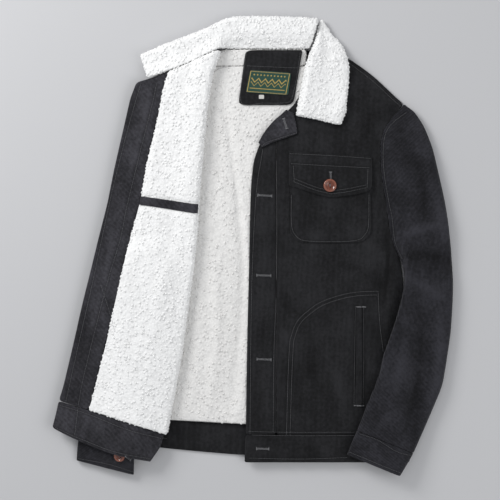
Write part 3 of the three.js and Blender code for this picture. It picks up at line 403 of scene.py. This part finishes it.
for node, obj in cloth.items():
    co = points_of(obj)
    free = np.clip((co[:, 2] - LIE_FROM) / LIE_FADE, 0, 1)
    rise = lie(co)
    if node in HIDDEN_SLEEVE:
        rise *= 0
    co[:, 2] += rise * free
    set_points(obj, co)
    # Fold mark for the cloth's colour: paler on the ridges as rubbed wear, darker in the hollows as painted
    # shade.
    attribute(obj, "fold_wear_and_shade", np.clip(rise / (FOLD_WEAR_AND_SHADE_RISE * MM), -0.7, 1))

# Topstitching
# Rows of grey polyester thread, 2.8 mm to the stitch, hold the seams, bands, pockets and cuffs. Each row
# draws the cloth down into a shallow groove.
STITCH_ROWS = {
    "front_stitching": [
        # points (mm), sideways gaps of the rows (mm)
        ([(16.6, 168), (5.2, 89.2), (-2.6, -77), (-5.6, -325.5)], [0]),
        ([(40.2, 185.5), (40.9, 63), (40.2, -77), (36.1, -185.5), (34.7, -322)], [0]),
        ([(-7, -328.1), (64.8, -329.3), (175, -329)], [0, 6]),
        ([(-5.2, -368.4), (82.2, -370.1), (162.8, -367.5)], [0]),
        ([(166.2, 329), (212.8, 294), (246.4, 262.7), (260.8, 250.2)], [0, -7]),
        ([(57.8, -327.2), (60.2, -239.8), (63, -175), (66.5, -154), (77, -129.5), (99.1, -108.5),
          (120.4, -95.2), (152.2, -84.5), (182, -79.1), (217, -77.7)], [0, -6.5]),
        ([(217, -78.8), (219.6, -129.5), (225.8, -182)], [0]),
    ],
    "corner_stitching": [
        ([(75.2, 196.9), (47.2, 188.3), (24.5, 181), (13.3, 172.4)], [0]),
    ],
    "pocket_stitching": [
        ([(66.2, 87.5), (66.5, 38.5), (72.6, 21), (87.5, 10.5), (134.8, 8.2), (178.5, 10.5), (194.2, 21),
          (200.2, 38.5), (201.2, 91)], [0]),
        ([(66.5, 143.5), (134.8, 139.5), (200.6, 136.5)], [0]),
        ([(64.8, 161), (134.8, 157.5), (203, 153)], [0]),
        ([(69.7, 138.2), (71.1, 112)], [0]),
        ([(71.1, 112), (106.8, 98), (135.4, 91)], [0, 5]),
        ([(135.4, 91), (166.2, 95.4), (195.3, 101.5)], [0, 5]),
        ([(199.2, 133), (197.8, 103.2)], [0]),
        ([(177.4, -105), (176.1, -192.5), (175, -276.5)], [0]),
        ([(191.8, -105), (191.8, -192.5), (190.8, -276.5)], [0]),
    ],
    "sleeve_stitching": [
        ([(266, 232.8), (246.8, 218.8), (231.9, 199.5), (226.4, 171.5), (227.5, 129.5), (236.2, 75.2),
          (241.2, 52.5), (246.8, 8.8), (259, -21)], [0]),
        ([(185.5, -324.6), (215.2, -335.1), (248.5, -355.2), (278.2, -364)], [0]),
        ([(168, -357), (194.2, -367.5), (227.5, -381.5), (257.2, -393.1)], [0]),
    ],
    "turned_stitching": [
        ([(-195.3, 283.5), (-220.5, 194.2), (-248.5, 80.5), (-276.5, -50.8), (-306.2, -182),
          (-326.4, -273)], [0]),
        ([(-168, 281.8), (-176.8, 241.5), (-217, 80.5), (-231, 12.2), (-255.5, -71.8), (-297.5, -239.8),
          (-309.8, -327.2)], [0]),
        ([(-264.2, -68.2), (-252, -105), (-239.8, -147)], [0]),
        ([(-337.8, -275.6), (-285.2, -292.2), (-218.8, -316.8), (-152.2, -335.1)], [0]),
        ([(-342.1, -315), (-306.2, -331.6), (-245, -354.4), (-176.8, -369.2)], [0]),
        ([(-303.6, -369.9), (-252, -379.1), (-210, -392)], [0]),
    ],
    "neck_stitching": [
        ([(-9.8, 314.3), (35, 312.2), (82.2, 310.4)], [0]),
        ([(-11.5, 338.8), (-21, 252), (15.8, 249.5), (57.8, 250.2), (67.6, 257.2)], [0]),
        ([(81.6, 336), (75.2, 290.5), (67.6, 257.2)], [0]),
        ([(-3.8, 305.2), (64.1, 300.3)], [0]),
        ([(-11.2, 269.2), (59.2, 264.9)], [0]),
        ([(-70, 302.1), (-57.8, 310.1), (-28, 315)], [0]),
    ],
}
THREAD_GREY = (0.125, 0.125, 0.132)
TOPSTITCH = (2.8, 2.3, 0.62)  # pitch, length and thickness of a stitch (mm)
GROOVE = (2.6, 0.75)  # half width and depth of the groove under a row (mm)
PUCKERS = 260  # how close they follow each other (1/m)
thread = Finish("grey_thread", THREAD_GREY, 0.6)
twist = thread.node("TexWave", {"bands_direction": "DIAGONAL"}, Vector=thread.coords(), Scale=900.0,
                    Distortion=1.5)
thread.colour(thread.blend(twist, tuple(c * 0.6 for c in THREAD_GREY), tuple(c * 1.5 for c in THREAD_GREY)))


class Work:
    """A geometry tree, with one method that adds any node."""

    def __init__(self, name, **inputs):
        self.tree = bpy.data.node_groups.new(name, "GeometryNodeTree")
        sockets = self.tree.interface
        sockets.new_socket("Geometry", in_out="INPUT", socket_type="NodeSocketGeometry")
        sockets.new_socket("Geometry", in_out="OUTPUT", socket_type="NodeSocketGeometry")
        self.keys = {}
        for key, kind in inputs.items():
            made = sockets.new_socket(key, in_out="INPUT", socket_type="NodeSocket" + kind)
            self.keys[key] = made.identifier
        self.start = self.tree.nodes.new("NodeGroupInput").outputs

    def node(self, kind, settings=None, **sockets):
        node = self.tree.nodes.new(kind)
        for key, value in (settings or {}).items():
            setattr(node, key, value)
        for key, value in sockets.items():
            socket = node.inputs[int(key[1:])] if key[0] == "_" else node.inputs[key.replace("_", " ")]
            if isinstance(value, bpy.types.NodeSocket):
                self.tree.links.new(value, socket)
            else:
                socket.default_value = value
        return node.outputs

    def finish(self, instances, material):
        real = self.node("GeometryNodeRealizeInstances", Geometry=instances)[0]
        round_off = self.node("GeometryNodeSetShadeSmooth", Geometry=real)[0]
        made = self.node("GeometryNodeSetMaterial", Geometry=round_off, Material=material)[0]
        self.node("NodeGroupOutput", _0=made)

    def run(self, mesh, name, **values):
        obj = link(mesh, name)
        modifier = obj.modifiers.new(name, "NODES")
        modifier.node_group = self.tree
        for key, value in values.items():
            modifier[self.keys[key]] = value
        return baked(obj)


stitcher = Work("stitch_row", Pitch="Float", Length="Float", Thick="Float", Turn="Float", Thread="Material")
given = stitcher.start
path = stitcher.node("GeometryNodeMeshToCurve", Mesh=given["Geometry"])[0]
path = stitcher.node("GeometryNodeResampleCurve", {"mode": "LENGTH"}, Curve=path, Length=given["Pitch"])[0]
heading = stitcher.node("GeometryNodeInputTangent")[0]
heading = stitcher.node("ShaderNodeVectorRotate", {"rotation_type": "Z_AXIS"}, Vector=heading,
                        Angle=given["Turn"])[0]
turned = stitcher.node("FunctionNodeAlignRotationToVector", {"axis": "Z"}, Vector=heading)[0]
uneven = stitcher.node("FunctionNodeRandomValue", {"data_type": "FLOAT"}, _2=0.84, _3=1.12, Seed=5)[1]
longer = stitcher.node("ShaderNodeMath", {"operation": "MULTIPLY"}, _0=given["Length"], _1=uneven)[0]
size = stitcher.node("ShaderNodeCombineXYZ", X=given["Thick"], Y=given["Thick"], Z=longer)[0]
bead = stitcher.node("GeometryNodeMeshUVSphere", Segments=6, Rings=4, Radius=0.5)[0]
rows = stitcher.node("GeometryNodeInstanceOnPoints", Points=path, Instance=bead, Rotation=turned,
                     Scale=size)[0]
stitcher.finish(rows, given["Thread"])


def along(points, step=2.0):
    """Evenly spaced places on a smooth line through drawn points."""
    p = np.array([at(*q) for q in points])
    if len(p) > 2:
        ends = np.vstack([2 * p[0] - p[1], p, 2 * p[-1] - p[-2]])
        t = np.linspace(0, 1, 12, endpoint=False)[:, None]
        bends = [
            0.5 * (2 * b + (c - a) * t + (2 * a - 5 * b + 4 * c - d) * t ** 2
                   + (3 * b - a - 3 * c + d) * t ** 3)
            for a, b, c, d in zip(ends, ends[1:], ends[2:], ends[3:])
        ]
        p = np.vstack([*bends, p[-1:]])
    far = np.r_[0, np.cumsum(np.hypot(*np.diff(p, axis=0).T))]
    t = np.linspace(0, far[-1], max(3, int(far[-1] / (step * MM)) + 1))
    return np.c_[np.interp(t, far, p[:, 0]), np.interp(t, far, p[:, 1])]


def beside(line, gap):
    run = np.gradient(line, axis=0)
    run /= np.linalg.norm(run, axis=1)[:, None]
    return line + np.c_[-run[:, 1], run[:, 0]] * gap * MM


def press(objects, lines, width, depth):
    """Draws the upper side of some pieces down along some lines."""
    spots = np.vstack(lines)
    near = kdtree.KDTree(len(spots))
    for i, (x, y) in enumerate(spots):
        near.insert((x, y, 0), i)
    near.balance()
    for obj in objects:
        co, up = points_of(obj), normals_of(obj)[:, 2]
        gap = np.array([near.find((x, y, 0))[2] if z > 0.2 else 1.0 for (x, y, _), z in zip(co, up)])
        pull = np.exp(-((gap / (width * MM)) ** 2))
        puckers = np.array([0.75 + 0.5 * noise.noise((x * PUCKERS, y * PUCKERS, 1.3)) for x, y, _ in co])
        co[:, 2] -= depth * MM * pull * puckers
        set_points(obj, co)
        # Marks the grooves under the rows, which the corduroy darkens as painted shade.
        attribute(obj, "sewn", pull)


rows = {name: [beside(along(p), g) for p, gaps in table for g in gaps] for name, table in STITCH_ROWS.items()}
for node, obj in cloth.items():
    if node not in {n for n, *_ in SHERPA_PIECES}:
        press([obj], [line for lines in rows.values() for line in lines], *GROOVE)

surfaces = []


def settle(line, proud=0.12):
    """A line laid on the topmost cloth under it."""
    if not surfaces:
        depsgraph = bpy.context.evaluated_depsgraph_get()
        surfaces.extend(BVHTree.FromObject(obj, depsgraph) for obj in cloth.values())
    laid = []
    for x, y in line:
        hits = [tree.ray_cast((x, y, 0.2), (0, 0, -1))[0] for tree in surfaces]
        laid.append((x, y, max((h.z for h in hits if h), default=0) + proud * MM))
    return laid


def path_mesh(lines, name):
    verts, edges = [], []
    for line in lines:
        edges += [(len(verts) + i, len(verts) + i + 1) for i in range(len(line) - 1)]
        verts += line
    mesh = bpy.data.meshes.new(name)
    mesh.from_pydata(verts, edges, [])
    return mesh


def sewn_rows(name, lines, material, pitch, length, thick, turn=0.0, proud=0.12, slot="corduroy"):
    mesh = path_mesh([settle(line, proud) for line in lines], name)
    obj = stitcher.run(mesh, name, Pitch=pitch * MM, Length=length * MM, Thick=thick * MM, Turn=turn,
                       Thread=material)
    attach(obj, "root")
    return obj


for name, lines in rows.items():
    if name != "neck_stitching":
        sewn_rows(name, lines, thread.mat, *TOPSTITCH)

# Buttonholes and bar tacks
# Cut slits, closed round with dense satin stitches in a paler thread and barred at both ends. Short bar
# tacks strengthen the ends of the pocket mouth.
PALE_GREY = (0.24, 0.24, 0.25)
pale_thread = Finish("pale_thread", PALE_GREY, 0.6)
gloss = pale_thread.node("TexNoise", Vector=pale_thread.coords(), Scale=1500.0, Detail=1.0)
pale_thread.colour(pale_thread.blend(gloss, tuple(c * 0.55 for c in PALE_GREY),
                                     tuple(c * 1.35 for c in PALE_GREY)))
BUTTONHOLES = [
    # from, to (mm)
    ((8.1, 89.2), (32.4, 87.8)),
    ((6.3, -50.1), (30.8, -50.8)),
    ((6.7, -196), (31.2, -196.7)),
    ((5.9, -351.8), (27.3, -352.4)),
    ((134.1, 128.8), (134.6, 115.5)),
    ((52.8, 222.2), (58.4, 204.8)),
    ((-221.5, -364.7), (-212.5, -370.7)),
]
BAR_TACKS = [
    ((178.3, -104.8), (195.3, -105.2)),
    ((175.3, -276.3), (192.5, -276.5)),
]
RIM_GAP, BAR_HALF = 0.85, 2.4
rims, bars, slits = [], [], []
for a, b in BUTTONHOLES:
    line = along([a, b], 1.0)
    rims += [beside(line, gap) for gap in (-RIM_GAP, RIM_GAP)]
    for end in (line[0], line[-1]):
        across = beside(np.array([end, end + (line[1] - line[0])]), BAR_HALF)[0] - end
        bars.append(np.array([end + across * t for t in np.linspace(-1, 1, 5)]))
    slits.append(line[1:-1])
sewn_rows("buttonhole_rims", rims, pale_thread.mat, 0.75, 1.5, 0.55, math.pi / 2, 0.1)
sewn_rows("buttonhole_bars", bars, pale_thread.mat, 0.7, 1.7, 0.62, math.pi / 2, 0.2)
sewn_rows("pocket_bar_tacks", [along([a, b], 1.0) for a, b in BAR_TACKS], pale_thread.mat, 0.75, 2.3, 0.6,
          math.pi / 2, 0.15)
slit_dark = Finish("slit_shadow", (0.004, 0.004, 0.005), 0.95)
depth = slit_dark.node("TexNoise", Vector=slit_dark.coords(), Scale=900.0)
slit_dark.colour(slit_dark.blend(depth, (0.002, 0.002, 0.003), (0.008, 0.008, 0.010)))
sewn_rows("buttonhole_slits", slits, slit_dark.mat, 0.9, 1.6, 0.55, 0.0, 0.08)

# Pile tufts
# Small curled locks of the same pile. They stand thick and ragged along the edges of the collar and the
# lining, and sparser over the rest of the surface.
TUFTS = [
    # node, finish, closest (mm), tuft radius (mm), share over the flat, only above this height (mm)
    ("right_front_lining", white_pile, 3.8, 2.0, 0.42, 6),
    ("collar", white_pile, 3.2, 2.0, 0.45, 6),
    ("collar_fall", white_pile, 3.2, 2.0, 0.45, 6),
    ("back_lining", shaded_pile, 4.4, 2.0, 0.36, 8),
    ("neck_facing", shaded_pile, 3.8, 1.6, 0.40, 2),
]
tufter = Work("tufts", Closest="Float", Radius="Float", Pile="Material")
given = tufter.start
thick = tufter.node("GeometryNodeInputNamedAttribute", {"data_type": "FLOAT"}, Name="fluff")[0]
spots = tufter.node("GeometryNodeDistributePointsOnFaces", {"distribute_method": "POISSON"},
                    Mesh=given["Geometry"], Distance_Min=given["Closest"], Density_Max=90000.0,
                    Density_Factor=thick, Seed=11)
ball = tufter.node("GeometryNodeMeshIcoSphere", Radius=1.0, Subdivisions=2)[0]
swirl = tufter.node("ShaderNodeTexNoise", Scale=1.7, Detail=1.0)[1]
swirl = tufter.node("ShaderNodeVectorMath", {"operation": "SUBTRACT"}, _0=swirl, _1=(0.5, 0.5, 0.5))[0]
swirl = tufter.node("ShaderNodeVectorMath", {"operation": "SCALE"}, _0=swirl, Scale=0.75)[0]
lock = tufter.node("GeometryNodeSetPosition", Geometry=ball, Offset=swirl)[0]
spin = tufter.node("FunctionNodeRandomValue", {"data_type": "FLOAT_VECTOR"}, _0=(-0.4, -0.4, 0),
                   _1=(0.4, 0.4, 6.3), Seed=3)[0]
spin = tufter.node("FunctionNodeRotateRotation", {"rotation_space": "LOCAL"}, Rotation=spots[2],
                   Rotate_By=spin)[0]
span = tufter.node("FunctionNodeRandomValue", {"data_type": "FLOAT_VECTOR"}, _0=(0.8, 0.8, 0.35),
                   _1=(1.5, 1.4, 0.75), Seed=4)[0]
span = tufter.node("ShaderNodeVectorMath", {"operation": "SCALE"}, _0=span, Scale=given["Radius"])[0]
locks = tufter.node("GeometryNodeInstanceOnPoints", Points=spots[0], Instance=lock, Rotation=spin,
                    Scale=span)[0]
tufter.finish(locks, given["Pile"])


def seen_from_above(obj, lift=0.0015):
    """Which points of a piece nothing else covers."""
    co = points_of(obj)
    others = [tree for tree, other in zip(surfaces, cloth.values()) if other is not obj]
    return np.array([not any(t.ray_cast((x, y, z + lift), (0, 0, 1))[0] for t in others) for x, y, z in co])


for node, finish, closest, radius, share, above in TUFTS:
    obj = cloth[node]
    co, up = points_of(obj), normals_of(obj)[:, 2]
    edge = np.clip((0.80 - np.abs(up)) / 0.25, 0, 1)
    fluff = np.where(up > 0.35, np.maximum(share, edge), edge)
    fluff *= (co[:, 2] > above * MM) * seen_from_above(obj)
    attribute(obj, "fluff", fluff)
    tufts = tufter.run(obj.data.copy(), node + "_tufts", Closest=closest * MM, Radius=radius * MM,
                       Pile=finish)
    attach(tufts, "root")
    cloth[node + "_tufts"] = tufts

# Hanger patch and label
# A corduroy patch at the back of the neck, with a damask label sewn to it along its top and bottom and a
# small folded size tag under it. The label wears a plain band pattern in green and gold.
LABEL_TOP_LEFT = at(-5.4, 306.9)
LABEL_SIZE = (71.2, 39.2)
LABEL_TURN = math.radians(-4.1)
LABEL_LEAN = 0.114  # how far its sides lean, as a share of its depth
YARNS = 2.6  # to the millimetre
BORDER = (2.6, 2.4)  # the border's inner edge, in from the sides and from top and bottom (mm)
SELVEDGE = (1.2, 1.1)  # its outer edge (mm)
ZIGZAG_PITCH, ZIGZAG_SLOPE = 11.8, 14.0
PEAKS_DOWN, LOW_PEAKS_DOWN, STRIPE_DOWN, DOTS_DOWN = 13.5, 20.0, 31.2, 7.4
DOT_PITCH, DOT_REACH = 5.9, 1.7
FIELD_EDGE = 5.0
GREEN = (0.012, 0.050, 0.036)
GOLD = (0.42, 0.30, 0.085)
cut_piece("hanger_patch", wale_down, cord)
label = Finish("green_gold_damask", GREEN, 0.62, Specular_IOR_Level=0.35)
u, v = label.value("label_u"), label.value("label_v")
wide, deep = LABEL_SIZE
warp = (u * YARNS).fract() * 0.5 + (v * YARNS).fract() * 0.5
border = u.under(BORDER[0]) + u.over(wide - BORDER[0]) + v.under(BORDER[1]) + v.over(deep - BORDER[1])
inside = u.over(SELVEDGE[0]) * u.under(wide - SELVEDGE[0]) * v.over(SELVEDGE[1]) * v.under(deep - SELVEDGE[1])
zigzag = ((u * (1 / ZIGZAG_PITCH)).fract() - 0.5).abs() * ZIGZAG_SLOPE
peaks = ((v - PEAKS_DOWN - zigzag).abs() - 1.3).under(0.0)
low_peaks = ((v - LOW_PEAKS_DOWN - zigzag).abs() - 0.8).under(0.0)
stripe = ((v - STRIPE_DOWN).abs() - 0.7).under(0.0)
dot_row = ((u * (1 / DOT_PITCH)).fract() - 0.5).abs() * DOT_PITCH
dots = (dot_row + (v - DOTS_DOWN).abs()).under(DOT_REACH)
pattern = (peaks + low_peaks + stripe + dots) * u.over(FIELD_EDGE) * u.under(wide - FIELD_EDGE)
gold_mask = (border * inside + pattern).clamp()
shine = label.node("TexNoise", Vector=label.coords(), Scale=700.0, Detail=2.0)
green_yarn = label.blend(warp, tuple(c * 0.6 for c in GREEN), tuple(c * 1.6 for c in GREEN))
gold_yarn = label.blend(shine, tuple(c * 0.6 for c in GOLD), tuple(c * 1.3 for c in GOLD))
label.colour(label.blend(gold_mask, green_yarn, gold_yarn))
label.bump(warp * 0.4 + gold_mask * 0.8, 0.0003, 0.7)
woven = cut_piece("woven_label", wale_down, label.mat, (3, 1))
flat_co = points_of(woven)[:, :2] - np.array(LABEL_TOP_LEFT)
down = (flat_co @ [math.sin(LABEL_TURN), -math.cos(LABEL_TURN)]) / MM
across = (flat_co @ [math.cos(LABEL_TURN), math.sin(LABEL_TURN)]) / MM
attribute(woven, "label_u", across + down * LABEL_LEAN)
attribute(woven, "label_v", down)
TAG_TONE, TAG_SHADE, TAG_LIGHT = (0.62, 0.61, 0.58), (0.50, 0.49, 0.46), (0.68, 0.67, 0.64)
tag = Finish("pale_tag", TAG_TONE, 0.75)
ribbon = tag.node("TexWave", {"bands_direction": "Y"}, Vector=tag.coords(), Scale=420.0, Distortion=0.4)
tag.colour(tag.blend(ribbon, TAG_SHADE, TAG_LIGHT))
tag.bump(ribbon, 0.0002, 0.5)
cut_piece("size_tab", wale_down, tag.mat, (2, 1))
surfaces.clear()
sewn_rows("neck_stitching", rows["neck_stitching"], thread.mat, *TOPSTITCH)

# Buttons
# Turned horn-brown buttons with a raised rim, a dished centre and two holes, the chest and cuff ones sewn
# on with two strands of pale thread. The five front ones lie hidden under the turned back front.
# The third tone is a painted highlight, paler and pinker, along the top of the rim.
HORN, HORN_LIGHT, HORN_RIM_HIGHLIGHT = (0.125, 0.023, 0.009), (0.21, 0.048, 0.018), (0.26, 0.088, 0.052)
horn = Finish("horn_brown", HORN, 0.24, Coat_Weight=0.5, Coat_Roughness=0.12)
swirls = horn.node("TexNoise", Vector=horn.coords(), Scale=130.0, Detail=4.0, Distortion=1.6)
rim = horn.value("rim")
horn_body = horn.blend((swirls * 1.5 - 0.3).clamp(), tuple(c * 0.55 for c in HORN), HORN_LIGHT)
# Painted highlight on the top of the rim.
horn.colour(horn.blend((rim * 0.7).clamp(), horn_body, HORN_RIM_HIGHLIGHT))
horn.rough(swirls * 0.2 + 0.16)
BUTTON_PROFILE = [
    # radius, height (share of the button's radius)
    (0.0, 0.07), (0.30, 0.075), (0.52, 0.10), (0.62, 0.17), (0.72, 0.245), (0.82, 0.27), (0.91, 0.245),
    (0.975, 0.18), (1.0, 0.10), (0.97, 0.03), (0.88, 0.0), (0.5, -0.01), (0.0, -0.01),
]
# shares of the button's radius
HOLE = (0.225, 0.105)  # place and radius of a thread hole
SINK = 0.12  # how far its back lies below its middle
RIM_HIGHLIGHT_FROM, RIM_HIGHLIGHT_ABOVE = 0.66, 0.16  # where the painted highlight on the rim starts
STRAND_GAP, STRAND_LOW, STRAND_ARCH = 0.05, 0.06, 0.10


def button(node, turns=40):
    """A lathe-turned button in the place of its solid, drilled for thread."""
    co = points_of(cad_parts[node])
    centre = (co.min(0) + co.max(0)) / 2
    axis = np.linalg.svd(co - centre, full_matrices=False)[2]
    normal = Vector(axis[2]) * (1 if axis[2][2] > 0 else -1)
    if node.startswith("right_front_button"):
        normal = -normal
    span = (co - centre) @ np.array(axis[0])
    radius = (span.max() - span.min()) / 2
    base = Vector(centre) - normal * radius * SINK
    turn = normal.to_track_quat("Z", "Y").to_matrix().to_4x4()
    bm = bmesh.new()
    spine = [bm.verts.new((r, 0, h)) for r, h in BUTTON_PROFILE]
    edges = [bm.edges.new(pair) for pair in zip(spine, spine[1:])]
    bmesh.ops.spin(bm, geom=spine + edges, cent=(0, 0, 0), axis=(0, 0, 1), angle=2 * math.pi, steps=turns)
    bmesh.ops.remove_doubles(bm, verts=bm.verts, dist=1e-4)
    bmesh.ops.recalc_face_normals(bm, faces=bm.faces)
    mesh = bpy.data.meshes.new(node)
    bm.to_mesh(mesh)
    bm.free()
    obj = link(mesh, node + "_turned")
    drill = bmesh.new()
    for side in (-1, 1):
        bmesh.ops.create_cone(drill, cap_ends=True, segments=14, radius1=HOLE[1], radius2=HOLE[1], depth=1.0,
                              matrix=Matrix.Translation((HOLE[0] * side, 0, 0)))
    drill_mesh = bpy.data.meshes.new("drill")
    drill.to_mesh(drill_mesh)
    drill.free()
    cutter = link(drill_mesh, "drill")
    cut = obj.modifiers.new("holes", "BOOLEAN")
    cut.operation, cut.object, cut.solver = "DIFFERENCE", cutter, "EXACT"
    baked(obj)
    bpy.data.objects.remove(cutter)
    local = points_of(obj)
    from_middle = np.hypot(local[:, 0], local[:, 1])
    # Marks the top of the rim for the painted highlight.
    attribute(obj, "rim", np.clip((from_middle - RIM_HIGHLIGHT_FROM) / 0.1, 0, 1) * (local[:, 2] > RIM_HIGHLIGHT_ABOVE))
    obj.data.transform(Matrix.Translation(base) @ turn @ Matrix.Scale(radius, 4))
    obj.data.shade_smooth()
    obj.data.materials.clear()
    obj.data.materials.append(horn.mat)
    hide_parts(node)
    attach(obj, "root")
    return base, turn, radius


for node in ["chest_button", "right_cuff_button"] + [f"right_front_button_{i}" for i in range(1, 6)]:
    base, turn, radius = button(node)
    if node.startswith("right_front"):
        continue
    ties = []
    for offset in (-STRAND_GAP, STRAND_GAP):
        arch = [(HOLE[0] * t, offset * (1 + t), STRAND_LOW + STRAND_ARCH * (1 - t * t))
                for t in np.linspace(-1, 1, 9)]
        ties.append([tuple(base + (turn @ (Vector(p) * radius))) for p in arch])
    tied = stitcher.run(path_mesh(ties, node + "_thread"), node + "_thread", Pitch=0.35 * MM, Length=0.7 * MM,
                        Thick=0.55 * MM, Turn=0.0, Thread=pale_thread.mat)
    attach(tied, "root")

# Studio
# A plain pale floor, soft light from beyond the collar and a long lens looking straight down.
floor = link(bpy.data.meshes.new("floor"), "floor")
bm = bmesh.new()
bmesh.ops.create_grid(bm, x_segments=1, y_segments=1, size=6, matrix=Matrix.Translation((0, 0, -0.001)))
bm.to_mesh(floor.data)
bm.free()
FLOOR_TONE = (0.55, 0.55, 0.56)
floor_finish = Finish("studio_floor", FLOOR_TONE, 0.9)
floor.data.materials.append(floor_finish.mat)

ROOM_TINT, ROOM_STRENGTH = (0.95, 0.97, 1, 1), 0.53
world = bpy.data.worlds.new("soft_room")
bpy.context.scene.world = world
world.use_nodes = True
world.node_tree.nodes["Background"].inputs[0].default_value = ROOM_TINT
world.node_tree.nodes["Background"].inputs[1].default_value = ROOM_STRENGTH


def lamp(name, place, size, power):
    light = bpy.data.lights.new(name, "AREA")
    light.shape, light.size, light.energy = "SQUARE", size, power
    obj = bpy.data.objects.new(name, light)
    bpy.context.scene.collection.objects.link(obj)
    obj.location = place
    obj.rotation_euler = (-Vector(place)).to_track_quat("-Z", "Y").to_euler()


lamp("key_soft", (-1.5, 1.3, 1.2), 0.9, 35)
lamp("fill_soft", (1.6, -0.6, 1.8), 1.6, 14)

VIEW_CENTRE = (-0.00525, -0.007)
FRAME_WIDTH = 0.868
LENS, SENSOR = 135, 36
FOCUS_LEVEL = 0.02
camera = bpy.data.objects.new("camera", bpy.data.cameras.new("camera"))
bpy.context.scene.collection.objects.link(camera)
camera.data.lens, camera.data.sensor_width = LENS, SENSOR
camera.location = (*VIEW_CENTRE, FRAME_WIDTH * LENS / SENSOR + FOCUS_LEVEL)
camera.data.clip_end = 30
bpy.context.scene.camera = camera
bpy.context.scene.view_settings.view_transform = "Standard"
